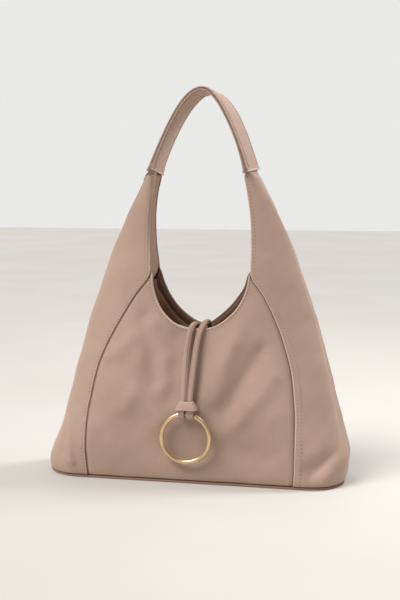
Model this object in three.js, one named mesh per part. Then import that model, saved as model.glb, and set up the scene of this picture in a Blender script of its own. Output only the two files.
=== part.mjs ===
// A slouchy leather shoulder bag that stands on its base: two centre panels and two wings that wrap the
// sides and rise to a shoulder strap, with a scooped mouth, and a leather tie that ends in a metal ring.
// Millimetres, +Z up, the front faces -Y, and the origin is the middle of the base's underside.
import * as THREE from "three";

// Driving dimensions of the body
const BODY_WIDTH = 374;
const BODY_DEPTH = 107;
const CUFF_HEIGHT = 367; // where the wings go into the strap
const MOUTH_HEIGHT = 184.5; // lowest point of the rim
const MOUTH_RISE = 66; // from there up to the corners of the mouth
const LEAN = 7; // the soft body leans this far towards +X

// Leather and the room between layers
const WALL = 1.6;
const LINING_WALL = 1;
const LAYER_GAP = 0.5;
const BUTT_GAP = 0.35; // between pieces that meet edge to face
const LAP = 8; // how far a centre panel runs on under a wing
const LAP_SHARE = 0.4; // and at most this share of the wing's face
const FACING_WIDTH = 14;
const LINING_LAP = 4; // how far the lining runs up behind a facing
const BASE_THICKNESS = 3;
const BASE_INSET = 0.8; // the base's edge lies this far inside the walls

// Strap
const STRAP_WIDTH = 38;
const STRAP_RISE = 94.5; // from the cuffs up to its middle
const STRAP_SPREAD = 58.8; // half the distance between the cuffs' middles
const ARCH_POINT = 0.12; // 0 makes the arch a parabola and 1 makes it a rounded point
const ARCH_TIP = 0.2; // how round that point is, as a share of STRAP_SPREAD
const ARCH_SKEW = 4; // the top of the arch lies this far towards +X
const STRAP_WALL = 1.6;
const STRAP_THICKNESS = 5; // both layers at the top of the arch
const CUFF_THICKNESS = 11; // and at the cuffs' open ends, over the wings' ends
const STRAP_GROOVE = 0.35; // between its two layers
const CUFF_CLEARANCE = 0.75; // between a wing's end and the strap's faces
const CUFF_EDGE_CLEARANCE = 1.7; // and the strap's edges
const TONGUE = 20; // length of each wing's end inside the strap
const SQUEEZE = 7; // the wings are pressed flat over this length below the cuffs
const TONGUE_FLAT = 0.92; // share of its width over which a wing's end is flat
const FACING_MARGIN = 0.7; // between a riser facing's edges and the wing's walls
const FACING_INSET = 0.8; // of a riser facing, outwards from the wing's inner edge
const FACING_END = 2; // a riser facing stops this short of the mouth's corner and of the strap
const LEFT_TWIST = 7; // degrees that the left wing's end and its cuff turn about the vertical
const RIGHT_TWIST = 11; // and the right ones
const LEFT_TWIST_LENGTH = 30; // the wing turns over this length below its cuff
const RIGHT_TWIST_LENGTH = 60;

// Tie and ring
const CORD_WIDTH = 6.8;
const CORD_THICKNESS = 5;
const CORD_GAP = 0.4;
const TIE_CLEARANCE = 0.5; // between the keeper and the front panel
const RING_RADIUS = 28.7; // to the middle of the wire
const WIRE_RADIUS = 2.6;
const RING_X = -1.8;
const RING_TOP = 85.5; // height of the middle of the wire at the ring's top
const RING_CLEARANCE = 1.4; // round the wire, inside a loop
const LOOP_THICKNESS = 3.4;
const LOOP_LEG = 7.2; // how far a loop's legs reach above the middle of the wire
const KEEPER_X = 2; // the keeper's middle from the ring's
const KEEPER_LIFT = 6; // of the keeper's lower edge above the middle of the wire
const KEEPER_HEIGHT = 11.2;
const KEEPER_WALL = 1.1;
const KEEPER_BOTTOM_WIDTH = 26;
const KEEPER_CORNER = 0.5; // radius of its corners, as a share of half its depth
const TAB_WIDTH = 26;
const TAB_HEIGHT = 16;
const TAB_THICKNESS = 2.5;
const TAB_DROP = 6; // the tab's upper edge below the rim
const TAB_X = 10.5; // the tab's middle from the ring's

// Sections of the body, from the base up to the cuffs. height is a share of CUFF_HEIGHT. outer and inner are
// shares of half BODY_WIDTH: the side, and the seam between wing and centre panel, which above the mouth is
// the wing's inner edge. depth goes from 0 at the strap's half width to 1 at half BODY_DEPTH. end is half
// the width of the flattened side strip, round is how far in from the side the face curves towards it,
// and fold is the radius of the crease between them, as shares of half BODY_DEPTH.
const SECTIONS = [
  { height: 0.0, outer: 0.984, inner: 0.664, depth: 0.94, end: 0.5, round: 0.95, fold: 0.4 },
  { height: 0.033, outer: 0.996, inner: 0.668, depth: 0.99, end: 0.48, round: 0.98, fold: 0.36 },
  { height: 0.08, outer: 0.984, inner: 0.674, depth: 1.0, end: 0.44, round: 1.1, fold: 0.24 },
  { height: 0.145, outer: 0.942, inner: 0.677, depth: 0.985, end: 0.39, round: 1.3, fold: 0.14 },
  { height: 0.21, outer: 0.905, inner: 0.674, depth: 0.94, end: 0.35, round: 1.5, fold: 0.1 },
  { height: 0.28, outer: 0.868, inner: 0.658, depth: 0.84, end: 0.31, round: 1.6, fold: 0.08 },
  { height: 0.36, outer: 0.831, inner: 0.632, depth: 0.7, end: 0.25, round: 1.6, fold: 0.07 },
  { height: 0.44, outer: 0.789, inner: 0.58, depth: 0.55, end: 0.18, round: 1.5, fold: 0.06 },
  { height: 0.52, outer: 0.747, inner: 0.508, depth: 0.41, end: 0.13, round: 1.5, fold: 0.055 },
  { height: 0.6, outer: 0.694, inner: 0.42, depth: 0.32, end: 0.09, round: 1.35, fold: 0.05 },
  { height: 0.68, outer: 0.64, inner: 0.322, depth: 0.24, end: 0.07, round: 1.15, fold: 0.05 },
  { height: 0.76, outer: 0.583, inner: 0.326, depth: 0.08, end: 0.06, round: 0.95, fold: 0.05 },
  { height: 0.84, outer: 0.511, inner: 0.323, depth: -0.01, end: 0.06, round: 0.7, fold: 0.05 },
  { height: 0.92, outer: 0.436, inner: 0.309, depth: -0.03, end: 0.07, round: 0.42, fold: 0.05 },
  { height: 1.0, outer: 0.352, inner: 0.286, depth: -0.01, end: 0.07, round: 0.1, fold: 0.05 },
];
const FACE_POWER = 2.2; // how the faces curve towards the side
const SIDE_DENT = 0.11; // the side strip sinks by this share of half its width
const CREASE_SHARE = 0.8; // a crease takes at most this share of half the side strip
const FOLD_FADE = 0.3; // the folds fade towards the crease, over this share of a face's round
const FOLD_LEFT = 0.15; // down to this share

// How far the sides and the seams have leant at a height, as shares of LEAN
const LEANING = [
  { height: 0.0, side: -0.12, seam: 0.0 },
  { height: 0.04, side: 0.0, seam: 0.0 },
  { height: 0.1, side: 0.7, seam: -0.1 },
  { height: 0.165, side: 0.93, seam: -0.1 },
  { height: 0.26, side: 0.93, seam: 0.05 },
  { height: 0.355, side: 0.93, seam: 0.22 },
  { height: 0.436, side: 0.93, seam: 0.45 },
  { height: 0.493, side: 0.93, seam: 0.7 },
  { height: 0.561, side: 0.93, seam: 0.95 },
  { height: 0.62, side: 0.93, seam: 1.12 },
  { height: 0.68, side: 0.93, seam: 1.2 },
  { height: 0.78, side: 0.95, seam: 1.02 },
  { height: 0.88, side: 0.98, seam: 0.92 },
  { height: 1.0, side: 1.0, seam: 1.0 },
];

// The rim of the mouth: across is a share of the way from the middle to the seam of the panel. The other
// columns are shares of MOUTH_RISE, for the front's rim and for both halves of the back's.
const RIM = [
  { across: 0.0, front: -0.02, backLeft: -0.035, backRight: -0.035 },
  { across: 0.03, front: -0.02, backLeft: -0.035, backRight: -0.035 },
  { across: 0.1, front: -0.018, backLeft: -0.01, backRight: 0.02 },
  { across: 0.2, front: 0.012, backLeft: 0.07, backRight: 0.13 },
  { across: 0.3, front: 0.085, backLeft: 0.167, backRight: 0.25 },
  { across: 0.4, front: 0.185, backLeft: 0.277, backRight: 0.375 },
  { across: 0.5, front: 0.3, backLeft: 0.4, backRight: 0.505 },
  { across: 0.6, front: 0.435, backLeft: 0.527, backRight: 0.625 },
  { across: 0.7, front: 0.58, backLeft: 0.65, backRight: 0.74 },
  { across: 0.8, front: 0.705, backLeft: 0.75, backRight: 0.865 },
  { across: 0.9, front: 0.83, backLeft: 0.86, backRight: 0.96 },
  { across: 1.0, front: 1.0, backLeft: 1.0, backRight: 1.0 },
];

// Soft folds in the faces. x is a share of half BODY_WIDTH and z of CUFF_HEIGHT, for the two ends of a fold.
// wide is a share of half BODY_WIDTH, out is a share of half BODY_DEPTH and is negative for a dent.
const FOLDS = [
  { face: "front", x0: 0.24, z0: 0.46, x1: 0.06, z1: 0.25, wide: 0.1, out: 0.07 },
  { face: "front", x0: 0.42, z0: 0.42, x1: 0.22, z1: 0.24, wide: 0.1, out: -0.08 },
  { face: "front", x0: -0.1, z0: 0.47, x1: -0.12, z1: 0.28, wide: 0.09, out: -0.06 },
  { face: "front", x0: -0.3, z0: 0.5, x1: -0.4, z1: 0.24, wide: 0.1, out: 0.05 },
  { face: "front", x0: 0.97, z0: 0.14, x1: 0.78, z1: 0.07, wide: 0.07, out: -0.1 },
  { face: "front", x0: -0.82, z0: 0.16, x1: -0.78, z1: 0.06, wide: 0.05, out: 0.06 },
  { face: "front", x0: -0.9, z0: 0.16, x1: -0.86, z1: 0.08, wide: 0.05, out: -0.07 },
  { face: "back", x0: 0.3, z0: 0.46, x1: 0.16, z1: 0.22, wide: 0.11, out: -0.06 },
  { face: "back", x0: -0.24, z0: 0.46, x1: -0.34, z1: 0.2, wide: 0.1, out: 0.05 },
  { face: "back", x0: -0.95, z0: 0.13, x1: -0.8, z1: 0.06, wide: 0.07, out: -0.08 },
];

// Twist of the strap about its own line, in degrees: along runs from -1 at the left cuff to 1 at the right
// one, and a positive twist turns its back edge towards the inside of the arch.
const STRAP_TWIST = [
  { along: -1.0, twist: LEFT_TWIST },
  { along: -0.6, twist: 9 },
  { along: -0.3, twist: 10 },
  { along: 0.0, twist: 6 },
  { along: 0.3, twist: -6 },
  { along: 0.6, twist: -12 },
  { along: 1.0, twist: -RIGHT_TWIST },
];

// How the strap thickens towards its cuffs: rise is a share of STRAP_RISE above them, and swell goes from 0 at
// STRAP_THICKNESS to 1 at CUFF_THICKNESS
const CUFF_SWELL = [
  { rise: 0.0, swell: 1.0 },
  { rise: 0.06, swell: 0.6 },
  { rise: 0.16, swell: 0.34 },
  { rise: 0.4, swell: 0.06 },
  { rise: 0.6, swell: 0.0 },
  { rise: 1.0, swell: 0.0 },
];

// Half of the profile of one of the strap's layers, from the groove to the middle of its face: across is a
// share of half its width, and rise goes from 0 at the groove to 1 at the face
const STRAP_PROFILE = [
  { across: 1, rise: 0 },
  { across: 1, rise: 0.7 },
  { across: 0.92, rise: 0.97 },
  { across: 0.45, rise: 1 },
];

// The loops round the ring, with the middle of each from the ring's middle
const LOOPS = {
  ring_loop_left: { x: -3.9, width: 8.2 },
  ring_loop_right: { x: 6.3, width: 9.2 },
};

// Numbers of facets
const FACE_STEPS = 5;
const FOLD_STEPS = 3;
const SIDE_STEPS = 1;
const PANEL_STEPS = 18;
const RIM_STEPS = 20;
const RISER_ROWS = 5;
const TONGUE_ROWS = 3;
const RISER_FACING_ROWS = 8;
const LINING_ROWS = 6;
const BASE_STEPS = 8;
const CREASE_STEPS = 3;
const STRAP_STEPS = 24;
const STRAP_BUNCH = 78; // degrees: the facets of the strap are closer together at the cuffs
const CORD_SIDES = 8;
const CORD_STEPS = 26;
const LOOP_SIDES = 8;
const LOOP_STEPS = 8;
const KEEPER_ROWS = 3;
const RING_SIDES = 8;
const RING_STEPS = 40;

// Heights of the rows of facets in the walls, as shares of the way from the base up to the rim
const ROWS = [0, 0.035, 0.1, 0.18, 0.27, 0.36, 0.45, 0.54, 0.63, 0.72, 0.81, 0.9, 1];

// Places of the lining's columns round a face, which are closer together where the rim is steep
const LINING_PLACES = [0, 0.2, 0.4, 0.5, 0.6, 0.7, 0.8, 0.9, 1, 1.5, 2];

// Sizes worked out from those above
const HALF_WIDTH = BODY_WIDTH / 2;
const HALF_DEPTH = BODY_DEPTH / 2;
const MOUTH_TOP = MOUTH_HEIGHT + MOUTH_RISE;
const WALL_BOTTOM = BASE_THICKNESS + BUTT_GAP;
const WING_END_DEPTH = STRAP_WIDTH / 2 - STRAP_WALL - CUFF_EDGE_CLEARANCE;
const LAYER = WALL + LAYER_GAP;
const LINING_DEPTH = 3 * LAYER + 2 * LAYER_GAP; // of the lining's outer side, below the skin
const DEGREE = Math.PI / 180;

const LEATHER = { color: 0xb0937f, roughness: 0.85, metalness: 0 };
const EDGE = { color: 0x8f7462, roughness: 0.85, metalness: 0 };
const LINING = { color: 0x5d4536, roughness: 0.95, metalness: 0 };
const GOLD = { color: 0xe2c283, roughness: 0.22, metalness: 1 };

const mix = (a, b, t) => a + (b - a) * t;
const clamp = (t) => Math.min(Math.max(t, 0), 1);
const smooth = (t) => clamp(t) ** 2 * (3 - 2 * clamp(t));

// A smooth value from one column of a table, at a place given in its first column. It never overshoots.
function column(table, key, name, at) {
  const last = table.length - 1;
  const place = Math.min(Math.max(at, table[0][key]), table[last][key]);
  let i = 0;
  while (i < last - 1 && place > table[i + 1][key]) i += 1;
  const span = (k) => table[k + 1][key] - table[k][key];
  const rise = (k) => (table[k + 1][name] - table[k][name]) / span(k);
  const slope = (k) => {
    if (k === 0) return rise(0);
    if (k === last) return rise(last - 1);
    const [before, after] = [rise(k - 1), rise(k)];
    return before * after <= 0 ? 0 : (2 * before * after) / (before + after);
  };
  const h = span(i);
  const t = (place - table[i][key]) / h;
  const [a, b] = [table[i][name], table[i + 1][name]];
  return (
    a * (1 + 2 * t) * (1 - t) ** 2 +
    h * slope(i) * t * (1 - t) ** 2 +
    b * t * t * (3 - 2 * t) +
    h * slope(i + 1) * t * t * (t - 1)
  );
}

// The arch of the strap's line, as shares of STRAP_SPREAD and STRAP_RISE: the drop from its top at a distance
// from its middle, and the distance at a drop
const ROUNDED = ARCH_POINT / (Math.hypot(1, ARCH_TIP) - ARCH_TIP);
const archDrop = (u) => (1 - ARCH_POINT) * u * u + ROUNDED * (Math.hypot(u, ARCH_TIP) - ARCH_TIP);
function archOut(drop) {
  const bow = 1 - ARCH_POINT;
  const reach = ARCH_TIP * (bow * ARCH_TIP + ROUNDED) + drop;
  const root = (Math.hypot(ROUNDED, 2 * Math.sqrt(bow * reach)) - ROUNDED) / (2 * bow);
  return Math.sqrt(root * root - ARCH_TIP * ARCH_TIP);
}

// Height of the strap's line at a share of the way to a cuff, its distance from the middle at a height, and
// the strap's thickness at a height
const STRAP_TOP = CUFF_HEIGHT + STRAP_RISE;
const archZ = (along) => STRAP_TOP - STRAP_RISE * archDrop(Math.abs(along));
const archX = (z) => STRAP_SPREAD * archOut((STRAP_TOP - z) / STRAP_RISE);
function strapThickness(z) {
  const swell = column(CUFF_SWELL, "rise", "swell", (z - CUFF_HEIGHT) / STRAP_RISE);
  return mix(STRAP_THICKNESS, CUFF_THICKNESS, swell);
}

// How far the strap stands towards +X, at a share of the way to a cuff
const strapShift = (along) => LEAN + ARCH_SKEW * (1 - Math.abs(along) ** 3);

// How far a point of the body has leant: share is 0 up to the seam and 1 at the side
function lean(z, share) {
  if (z > CUFF_HEIGHT) return strapShift(archOut((STRAP_TOP - z) / STRAP_RISE));
  const at = (name) => column(LEANING, "height", name, z / CUFF_HEIGHT);
  return LEAN * mix(at("seam"), at("side"), clamp(share));
}

// The body's section at a height, in millimetres
function section(z) {
  const height = z / CUFF_HEIGHT;
  const at = (name) => column(SECTIONS, "height", name, height);
  const squeeze = smooth((z - CUFF_HEIGHT + SQUEEZE) / SQUEEZE);
  const half = strapThickness(z) / 2 - STRAP_WALL - CUFF_CLEARANCE;
  const outer = mix(at("outer") * HALF_WIDTH, archX(z) + half, squeeze);
  const inner = mix(at("inner") * HALF_WIDTH, archX(z) - half, squeeze);
  const depth = mix(WING_END_DEPTH, HALF_DEPTH, at("depth"));
  const end = mix(at("end") * HALF_DEPTH, depth * TONGUE_FLAT, squeeze);
  const round = at("round") * HALF_DEPTH;
  const reach = Math.min(at("fold") * HALF_DEPTH, end * CREASE_SHARE, (outer - inner) * LAP_SHARE);
  return {
    outer,
    inner,
    end,
    round,
    reach,
    edge: outer - reach, // where the face turns into the crease
    depth,
    dent: SIDE_DENT * end * (1 - squeeze),
  };
}

// How far a face stands out from the middle plane at a distance from the body's own middle
function faceDepth(s, x) {
  const share = clamp((s.outer - x) / s.round);
  return s.end + (s.depth - s.end) * (1 - (1 - share) ** FACE_POWER);
}

// How far the folds push a face out
function foldOut(face, x, z) {
  let out = 0;
  for (const fold of FOLDS) {
    if (fold.face !== face) continue;
    const [ax, az] = [fold.x0 * HALF_WIDTH, fold.z0 * CUFF_HEIGHT];
    const [bx, bz] = [fold.x1 * HALF_WIDTH - ax, fold.z1 * CUFF_HEIGHT - az];
    const length2 = bx * bx + bz * bz;
    const along = clamp(((x - ax) * bx + (z - az) * bz) / length2);
    const away = Math.hypot(x - ax - along * bx, z - az - along * bz) / (fold.wide * HALF_WIDTH);
    out += fold.out * HALF_DEPTH * Math.exp(-away * away * 2);
  }
  return out;
}

// A point of the outer skin. side is 1 on the right half and -1 on the left. around runs from 0 at the
// front's middle to 1 at the seam, 2 at the crease, 3 and 4 on the side strip, 5 past the back crease, 6 at
// the back seam and 7 at the back's middle.
function skin(side, around, z) {
  const s = section(z);
  const back = around > 3.5;
  const u = back ? 7 - around : around;
  const face = back ? "back" : "front";
  const { reach, edge } = s;
  let x = 0;
  let y = 0;
  if (u <= 1) {
    x = u * s.inner;
    y = faceDepth(s, x);
  } else if (u <= 2) {
    x = mix(s.inner, edge, u - 1);
    y = faceDepth(s, x);
  } else if (u <= 3) {
    const t = u - 2;
    const bend = [(1 - t) ** 2, 2 * t * (1 - t), t * t];
    const sideX = (at) => s.outer - s.dent * (1 - (at / s.end) ** 2);
    x = bend[0] * edge + bend[1] * s.outer + bend[2] * sideX(s.end - reach);
    y = bend[0] * faceDepth(s, edge) + bend[1] * s.end + bend[2] * (s.end - reach);
  } else {
    y = mix(s.end - reach, 0, (u - 3) / 0.5);
    x = s.outer - s.dent * (1 - (y / s.end) ** 2);
  }
  if (u <= 2) {
    const fade = Math.min((edge - x) / (s.round * FOLD_FADE) + FOLD_LEFT, 1);
    y += foldOut(face, side * x, z) * fade;
  }
  return place(s, side, x, back ? y : -y, z);
}

// Puts a point of a section in its place: a wing's upper end turns about its own middle, and all of it leans
function place(section, side, x, y, z) {
  const { inner, outer } = section;
  const [twist, length] = side < 0 ? [LEFT_TWIST, LEFT_TWIST_LENGTH] : [RIGHT_TWIST, RIGHT_TWIST_LENGTH];
  const angle = twist * DEGREE * smooth((z - CUFF_HEIGHT + length) / length);
  const middle = (side * (outer + inner)) / 2;
  const [away, c, s] = [side * x - middle, Math.cos(angle), Math.sin(angle)];
  const shift = lean(z, (x - inner) / (outer - inner));
  return new THREE.Vector3(middle + away * c + y * s + shift, y * c - away * s, z);
}

// A point below the skin by a depth, square to it
function under(side, around, z, depth) {
  const step = 0.02;
  const rise = 0.6;
  const at = skin(side, around, z);
  const across = skin(side, around + step, z).sub(skin(side, Math.max(around - step, 0), z));
  const up = skin(side, around, z + rise).sub(skin(side, around, z - rise));
  const inward = up.cross(across).normalize().multiplyScalar(side * depth);
  return at.add(inward);
}

// The height of the rim at a share of the way to a corner of the mouth, which is negative on the left
function rimHeight(face, across) {
  const back = across < 0 ? "backLeft" : "backRight";
  return MOUTH_HEIGHT + MOUTH_RISE * column(RIM, "across", face === "front" ? face : back, Math.abs(across));
}

// One closed solid between an outer and an inner grid of points, open or closed round its columns. The facets'
// diagonals turn the other way where turned says so, and thus pieces that lap each other have the same ones.
function shell(outer, inner, closed = false, turned = () => false) {
  const rows = outer.length;
  const cols = outer[0].length;
  const points = [...outer.flat(), ...inner.flat()];
  const index = [];
  const at = (layer, r, c) => layer * rows * cols + r * cols + (c % cols);
  const quad = (a, b, c, d) => index.push(a, b, c, a, c, d);
  const wide = closed ? cols : cols - 1;
  for (let r = 0; r < rows - 1; r += 1)
    for (let c = 0; c < wide; c += 1) {
      const front = [at(0, r, c), at(0, r, c + 1), at(0, r + 1, c + 1), at(0, r + 1, c)];
      const back = [at(1, r, c), at(1, r + 1, c), at(1, r + 1, c + 1), at(1, r, c + 1)];
      if (turned(c)) for (const corners of [front, back]) corners.push(corners.shift());
      quad(...front);
      quad(...back);
    }
  for (let c = 0; c < wide; c += 1) {
    quad(at(0, 0, c), at(1, 0, c), at(1, 0, c + 1), at(0, 0, c + 1));
    quad(at(0, rows - 1, c), at(0, rows - 1, c + 1), at(1, rows - 1, c + 1), at(1, rows - 1, c));
  }
  for (let r = 0; r < rows - 1 && !closed; r += 1) {
    quad(at(0, r, 0), at(0, r + 1, 0), at(1, r + 1, 0), at(1, r, 0));
    const end = cols - 1;
    quad(at(0, r, end), at(1, r, end), at(1, r + 1, end), at(0, r + 1, end));
  }
  return solid(points, index);
}

// A geometry from points and triangles, turned so that its faces point out
function solid(points, index) {
  let volume = 0;
  for (let i = 0; i < index.length; i += 3) {
    const [a, b, c] = [points[index[i]], points[index[i + 1]], points[index[i + 2]]];
    volume += a.dot(new THREE.Vector3().crossVectors(b, c));
  }
  if (volume < 0)
    for (let i = 0; i < index.length; i += 3) [index[i], index[i + 1]] = [index[i + 1], index[i]];
  const geometry = new THREE.BufferGeometry();
  geometry.setAttribute(
    "position",
    new THREE.Float32BufferAttribute(points.flatMap((p) => [p.x, p.y, p.z]), 3),
  );
  geometry.setIndex(index);
  geometry.computeVertexNormals();
  return geometry;
}

// A closed tube of rings of points, with flat ends
function tube(rings, closed = false) {
  const sides = rings[0].length;
  const points = rings.flat();
  const index = [];
  const count = closed ? rings.length : rings.length - 1;
  for (let r = 0; r < count; r += 1)
    for (let c = 0; c < sides; c += 1) {
      const [d, n] = [(c + 1) % sides, (r + 1) % rings.length];
      index.push(r * sides + c, r * sides + d, n * sides + d);
      index.push(r * sides + c, n * sides + d, n * sides + c);
    }
  for (let c = 1; c < sides - 1 && !closed; c += 1) {
    const end = (rings.length - 1) * sides;
    index.push(0, c + 1, c, end, end + c, end + c + 1);
  }
  return solid(points, index);
}

const group = new THREE.Group();

function add(name, geometry, look) {
  const mesh = new THREE.Mesh(geometry, new THREE.MeshStandardMaterial(look));
  mesh.name = name;
  group.add(mesh);
  return mesh;
}

const steps = (count, from, to) => Array.from({ length: count + 1 }, (_, i) => mix(from, to, i / count));

// A wing wraps one side, from its front seam round to its back seam, and its end goes up into the strap
function wing(side) {
  const around = (z) => {
    const face = [1, ...steps(FACE_STEPS, panelPlace(2, z), 2)];
    const bend = [...steps(FOLD_STEPS, 2, 3), ...steps(SIDE_STEPS, 3, 3.5).slice(1)].slice(1);
    const half = [...face, ...bend];
    return [...half, ...half.slice(0, -1).reverse().map((u) => 7 - u)];
  };
  const heights = [
    ...ROWS.map((v) => mix(WALL_BOTTOM, MOUTH_TOP, v)),
    ...steps(RISER_ROWS, MOUTH_TOP, CUFF_HEIGHT - SQUEEZE).slice(1),
    CUFF_HEIGHT - SQUEEZE / 2,
    ...steps(TONGUE_ROWS, CUFF_HEIGHT, CUFF_HEIGHT + TONGUE),
  ];
  const layer = (depth) => heights.map((z) => around(z).map((u) => under(side, u, z, depth)));
  const half = (around(0).length - 1) / 2;
  return shell(layer(0), layer(WALL), false, (c) => c >= half);
}

// The place round the skin of a column of a centre panel: across is 1 at the seam and 2 at the lap's edge
function panelPlace(across, z) {
  const s = section(z);
  const lap = Math.min(LAP, (s.edge - s.inner) * LAP_SHARE);
  return across <= 1 ? across : 1 + ((across - 1) * lap) / (s.edge - s.inner);
}

// A grid of points below the skin of a centre panel, at its columns and at shares between two heights
function panelGrid(face, columns, rows, bottom, top, depth) {
  return rows.map((v) =>
    columns.map((across) => {
      const z = mix(bottom(across), top(across), v);
      const u = panelPlace(Math.abs(across), z);
      return under(across < 0 ? -1 : 1, face === "front" ? u : 7 - u, z, depth);
    }),
  );
}

// A centre panel fills the space between the wings, up to the rim, and runs on a little under them
function centrePanel(face) {
  const columns = [-2, ...steps(PANEL_STEPS, -1, 1), 2];
  const rim = (across) => rimHeight(face, across);
  const layer = (depth) => panelGrid(face, columns, ROWS, () => WALL_BOTTOM, rim, depth);
  return shell(layer(LAYER), layer(LAYER + WALL), false, (c) => c <= PANEL_STEPS / 2);
}

// A facing lines a centre panel's rim on the inside
function mouthFacing(face) {
  const columns = steps(RIM_STEPS, -1, 1);
  const rim = (across) => rimHeight(face, across);
  const lower = (across) => rimHeight(face, across) - FACING_WIDTH;
  const layer = (depth) => panelGrid(face, columns, steps(2, 0, 1), lower, rim, depth);
  return shell(layer(2 * LAYER), layer(2 * LAYER + WALL));
}

// A strip closes each wing's inner side, from the corner of the mouth up into the strap
function riserFacing(side) {
  const heights = steps(RISER_FACING_ROWS, MOUTH_TOP + FACING_END, CUFF_HEIGHT - FACING_END);
  const layer = (inset) =>
    heights.map((z) => {
      const s = section(z);
      const half = faceDepth(s, s.inner) - WALL - FACING_MARGIN;
      return [-1, -0.5, 0.5, 1].map((share) => place(s, side, s.inner + inset, share * half, z));
    });
  return shell(layer(FACING_INSET), layer(FACING_INSET + WALL));
}

// The plate that the bag stands on, with the plan of the walls' lower edges
function basePanel() {
  const outline = [];
  for (const side of [1, -1]) {
    const front = [...steps(BASE_STEPS, 0, 2), ...steps(CREASE_STEPS, 2, 3).slice(1)];
    const half = [...front, 3.5, ...front.map((u) => 7 - u).reverse()];
    for (const u of side > 0 ? half.slice(0, -1) : half.reverse().slice(0, -1))
      outline.push(under(side, u, WALL_BOTTOM, BASE_INSET));
  }
  const ring = (z) => outline.map((p) => new THREE.Vector3(p.x, p.y, z));
  return tube([ring(0), ring(BASE_THICKNESS)]);
}

// The lining is a thin cup that hangs from the facings
function lining() {
  const depth = LINING_DEPTH;
  const floor = WALL_BOTTOM + WALL;
  const right = [...LINING_PLACES, 2.5, 3.5, 4.5, ...LINING_PLACES.map((u) => 7 - u).reverse()];
  const left = right.slice(1, -1).reverse();
  const columns = [...right.map((u) => [1, u]), ...left.map((u) => [-1, u])];
  const top = (side, u) => {
    const rim = rimHeight(u > 3.5 ? "back" : "front", side * Math.min(u, 7 - u));
    return Math.min(rim - FACING_WIDTH + LINING_LAP, MOUTH_TOP - FACING_WIDTH);
  };
  const ring = (v, more) =>
    columns.map(([side, u]) => under(side, u, mix(floor + more, top(side, u), v), depth + more));
  const rows = steps(LINING_ROWS, 0, 1);
  const outer = rows.map((v) => ring(v, 0));
  const inner = rows.map((v) => ring(v, LINING_WALL));
  const count = columns.length;
  const points = [...outer.flat(), ...inner.flat()];
  const innerStart = rows.length * count;
  const index = [];
  for (let r = 0; r < rows.length - 1; r += 1)
    for (let c = 0; c < count; c += 1) {
      const [a, b] = [r * count + c, r * count + ((c + 1) % count)];
      index.push(a, b, b + count, a, b + count, a + count);
      index.push(innerStart + a, innerStart + b + count, innerStart + b);
      index.push(innerStart + a, innerStart + a + count, innerStart + b + count);
    }
  const rim = (rows.length - 1) * count;
  points.push(new THREE.Vector3(0, 0, floor), new THREE.Vector3(0, 0, floor + LINING_WALL));
  for (let c = 0; c < count; c += 1) {
    const d = (c + 1) % count;
    index.push(rim + c, rim + d, innerStart + rim + d, rim + c, innerStart + rim + d, innerStart + rim + c);
    index.push(points.length - 2, d, c, points.length - 1, innerStart + c, innerStart + d);
  }
  return solid(points, index);
}

// A place in the strap: the point on its line, its width direction and its outward direction
function strapFrame(along) {
  const line = (t) => new THREE.Vector3(t * STRAP_SPREAD + strapShift(t), 0, archZ(t));
  const step = 0.002;
  const tangent = line(along + step).sub(line(along - step)).normalize();
  const outward = new THREE.Vector3(-tangent.z, 0, tangent.x);
  const twist = column(STRAP_TWIST, "along", "twist", along) * DEGREE;
  const width = new THREE.Vector3(0, Math.cos(twist), 0).addScaledVector(outward, -Math.sin(twist));
  const out = new THREE.Vector3().crossVectors(tangent, width).normalize();
  return { centre: line(along), width, out };
}

// One layer of the strap: a shallow channel whose edges meet the other layer's at the groove
function strapLayer(way) {
  const profile = (half, top) => {
    const right = STRAP_PROFILE.map(({ across, rise }) => [half * across, mix(STRAP_GROOVE / 2, top, rise)]);
    return [...right.map(([w, t]) => [-w, t]), ...right.reverse()];
  };
  const ring = (along, inset) => {
    const top = strapThickness(archZ(along)) / 2 - inset;
    const { centre, width, out } = strapFrame(along);
    return profile(STRAP_WIDTH / 2 - inset, top).map(([w, t]) =>
      centre.clone().addScaledVector(width, w).addScaledVector(out, way * t),
    );
  };
  const bunch = STRAP_BUNCH * DEGREE;
  const places = steps(STRAP_STEPS, -1, 1).map((t) => Math.sin(t * bunch) / Math.sin(bunch));
  return shell(
    places.map((t) => ring(t, 0)),
    places.map((t) => ring(t, STRAP_WALL)),
  );
}

// Where the tie hangs: the middle of the ring's wire stands far enough out for the loops and the keeper
const LOOP_RADIUS = WIRE_RADIUS + RING_CLEARANCE + LOOP_THICKNESS / 2;
const KEEPER_HALF_DEPTH = LOOP_RADIUS + LOOP_THICKNESS / 2 + 2 * CORD_GAP + KEEPER_WALL;
const KEEPER_BOTTOM = RING_TOP + KEEPER_LIFT;
const RING_Y = -(faceDepth(section(KEEPER_BOTTOM), 0) + KEEPER_HALF_DEPTH + TIE_CLEARANCE);

// The tab that both cords are sewn to lies flat on the lining below the back facing
const TAB_TOP = MOUTH_HEIGHT - TAB_DROP;
const TAB_BACK = section(TAB_TOP).depth + foldOut("back", 0, TAB_TOP) - LINING_DEPTH - LINING_WALL - BUTT_GAP;
const TAB_SHARE = (TAB_BACK - TAB_THICKNESS - CORD_THICKNESS / 2 - CORD_GAP) / -RING_Y;

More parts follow.
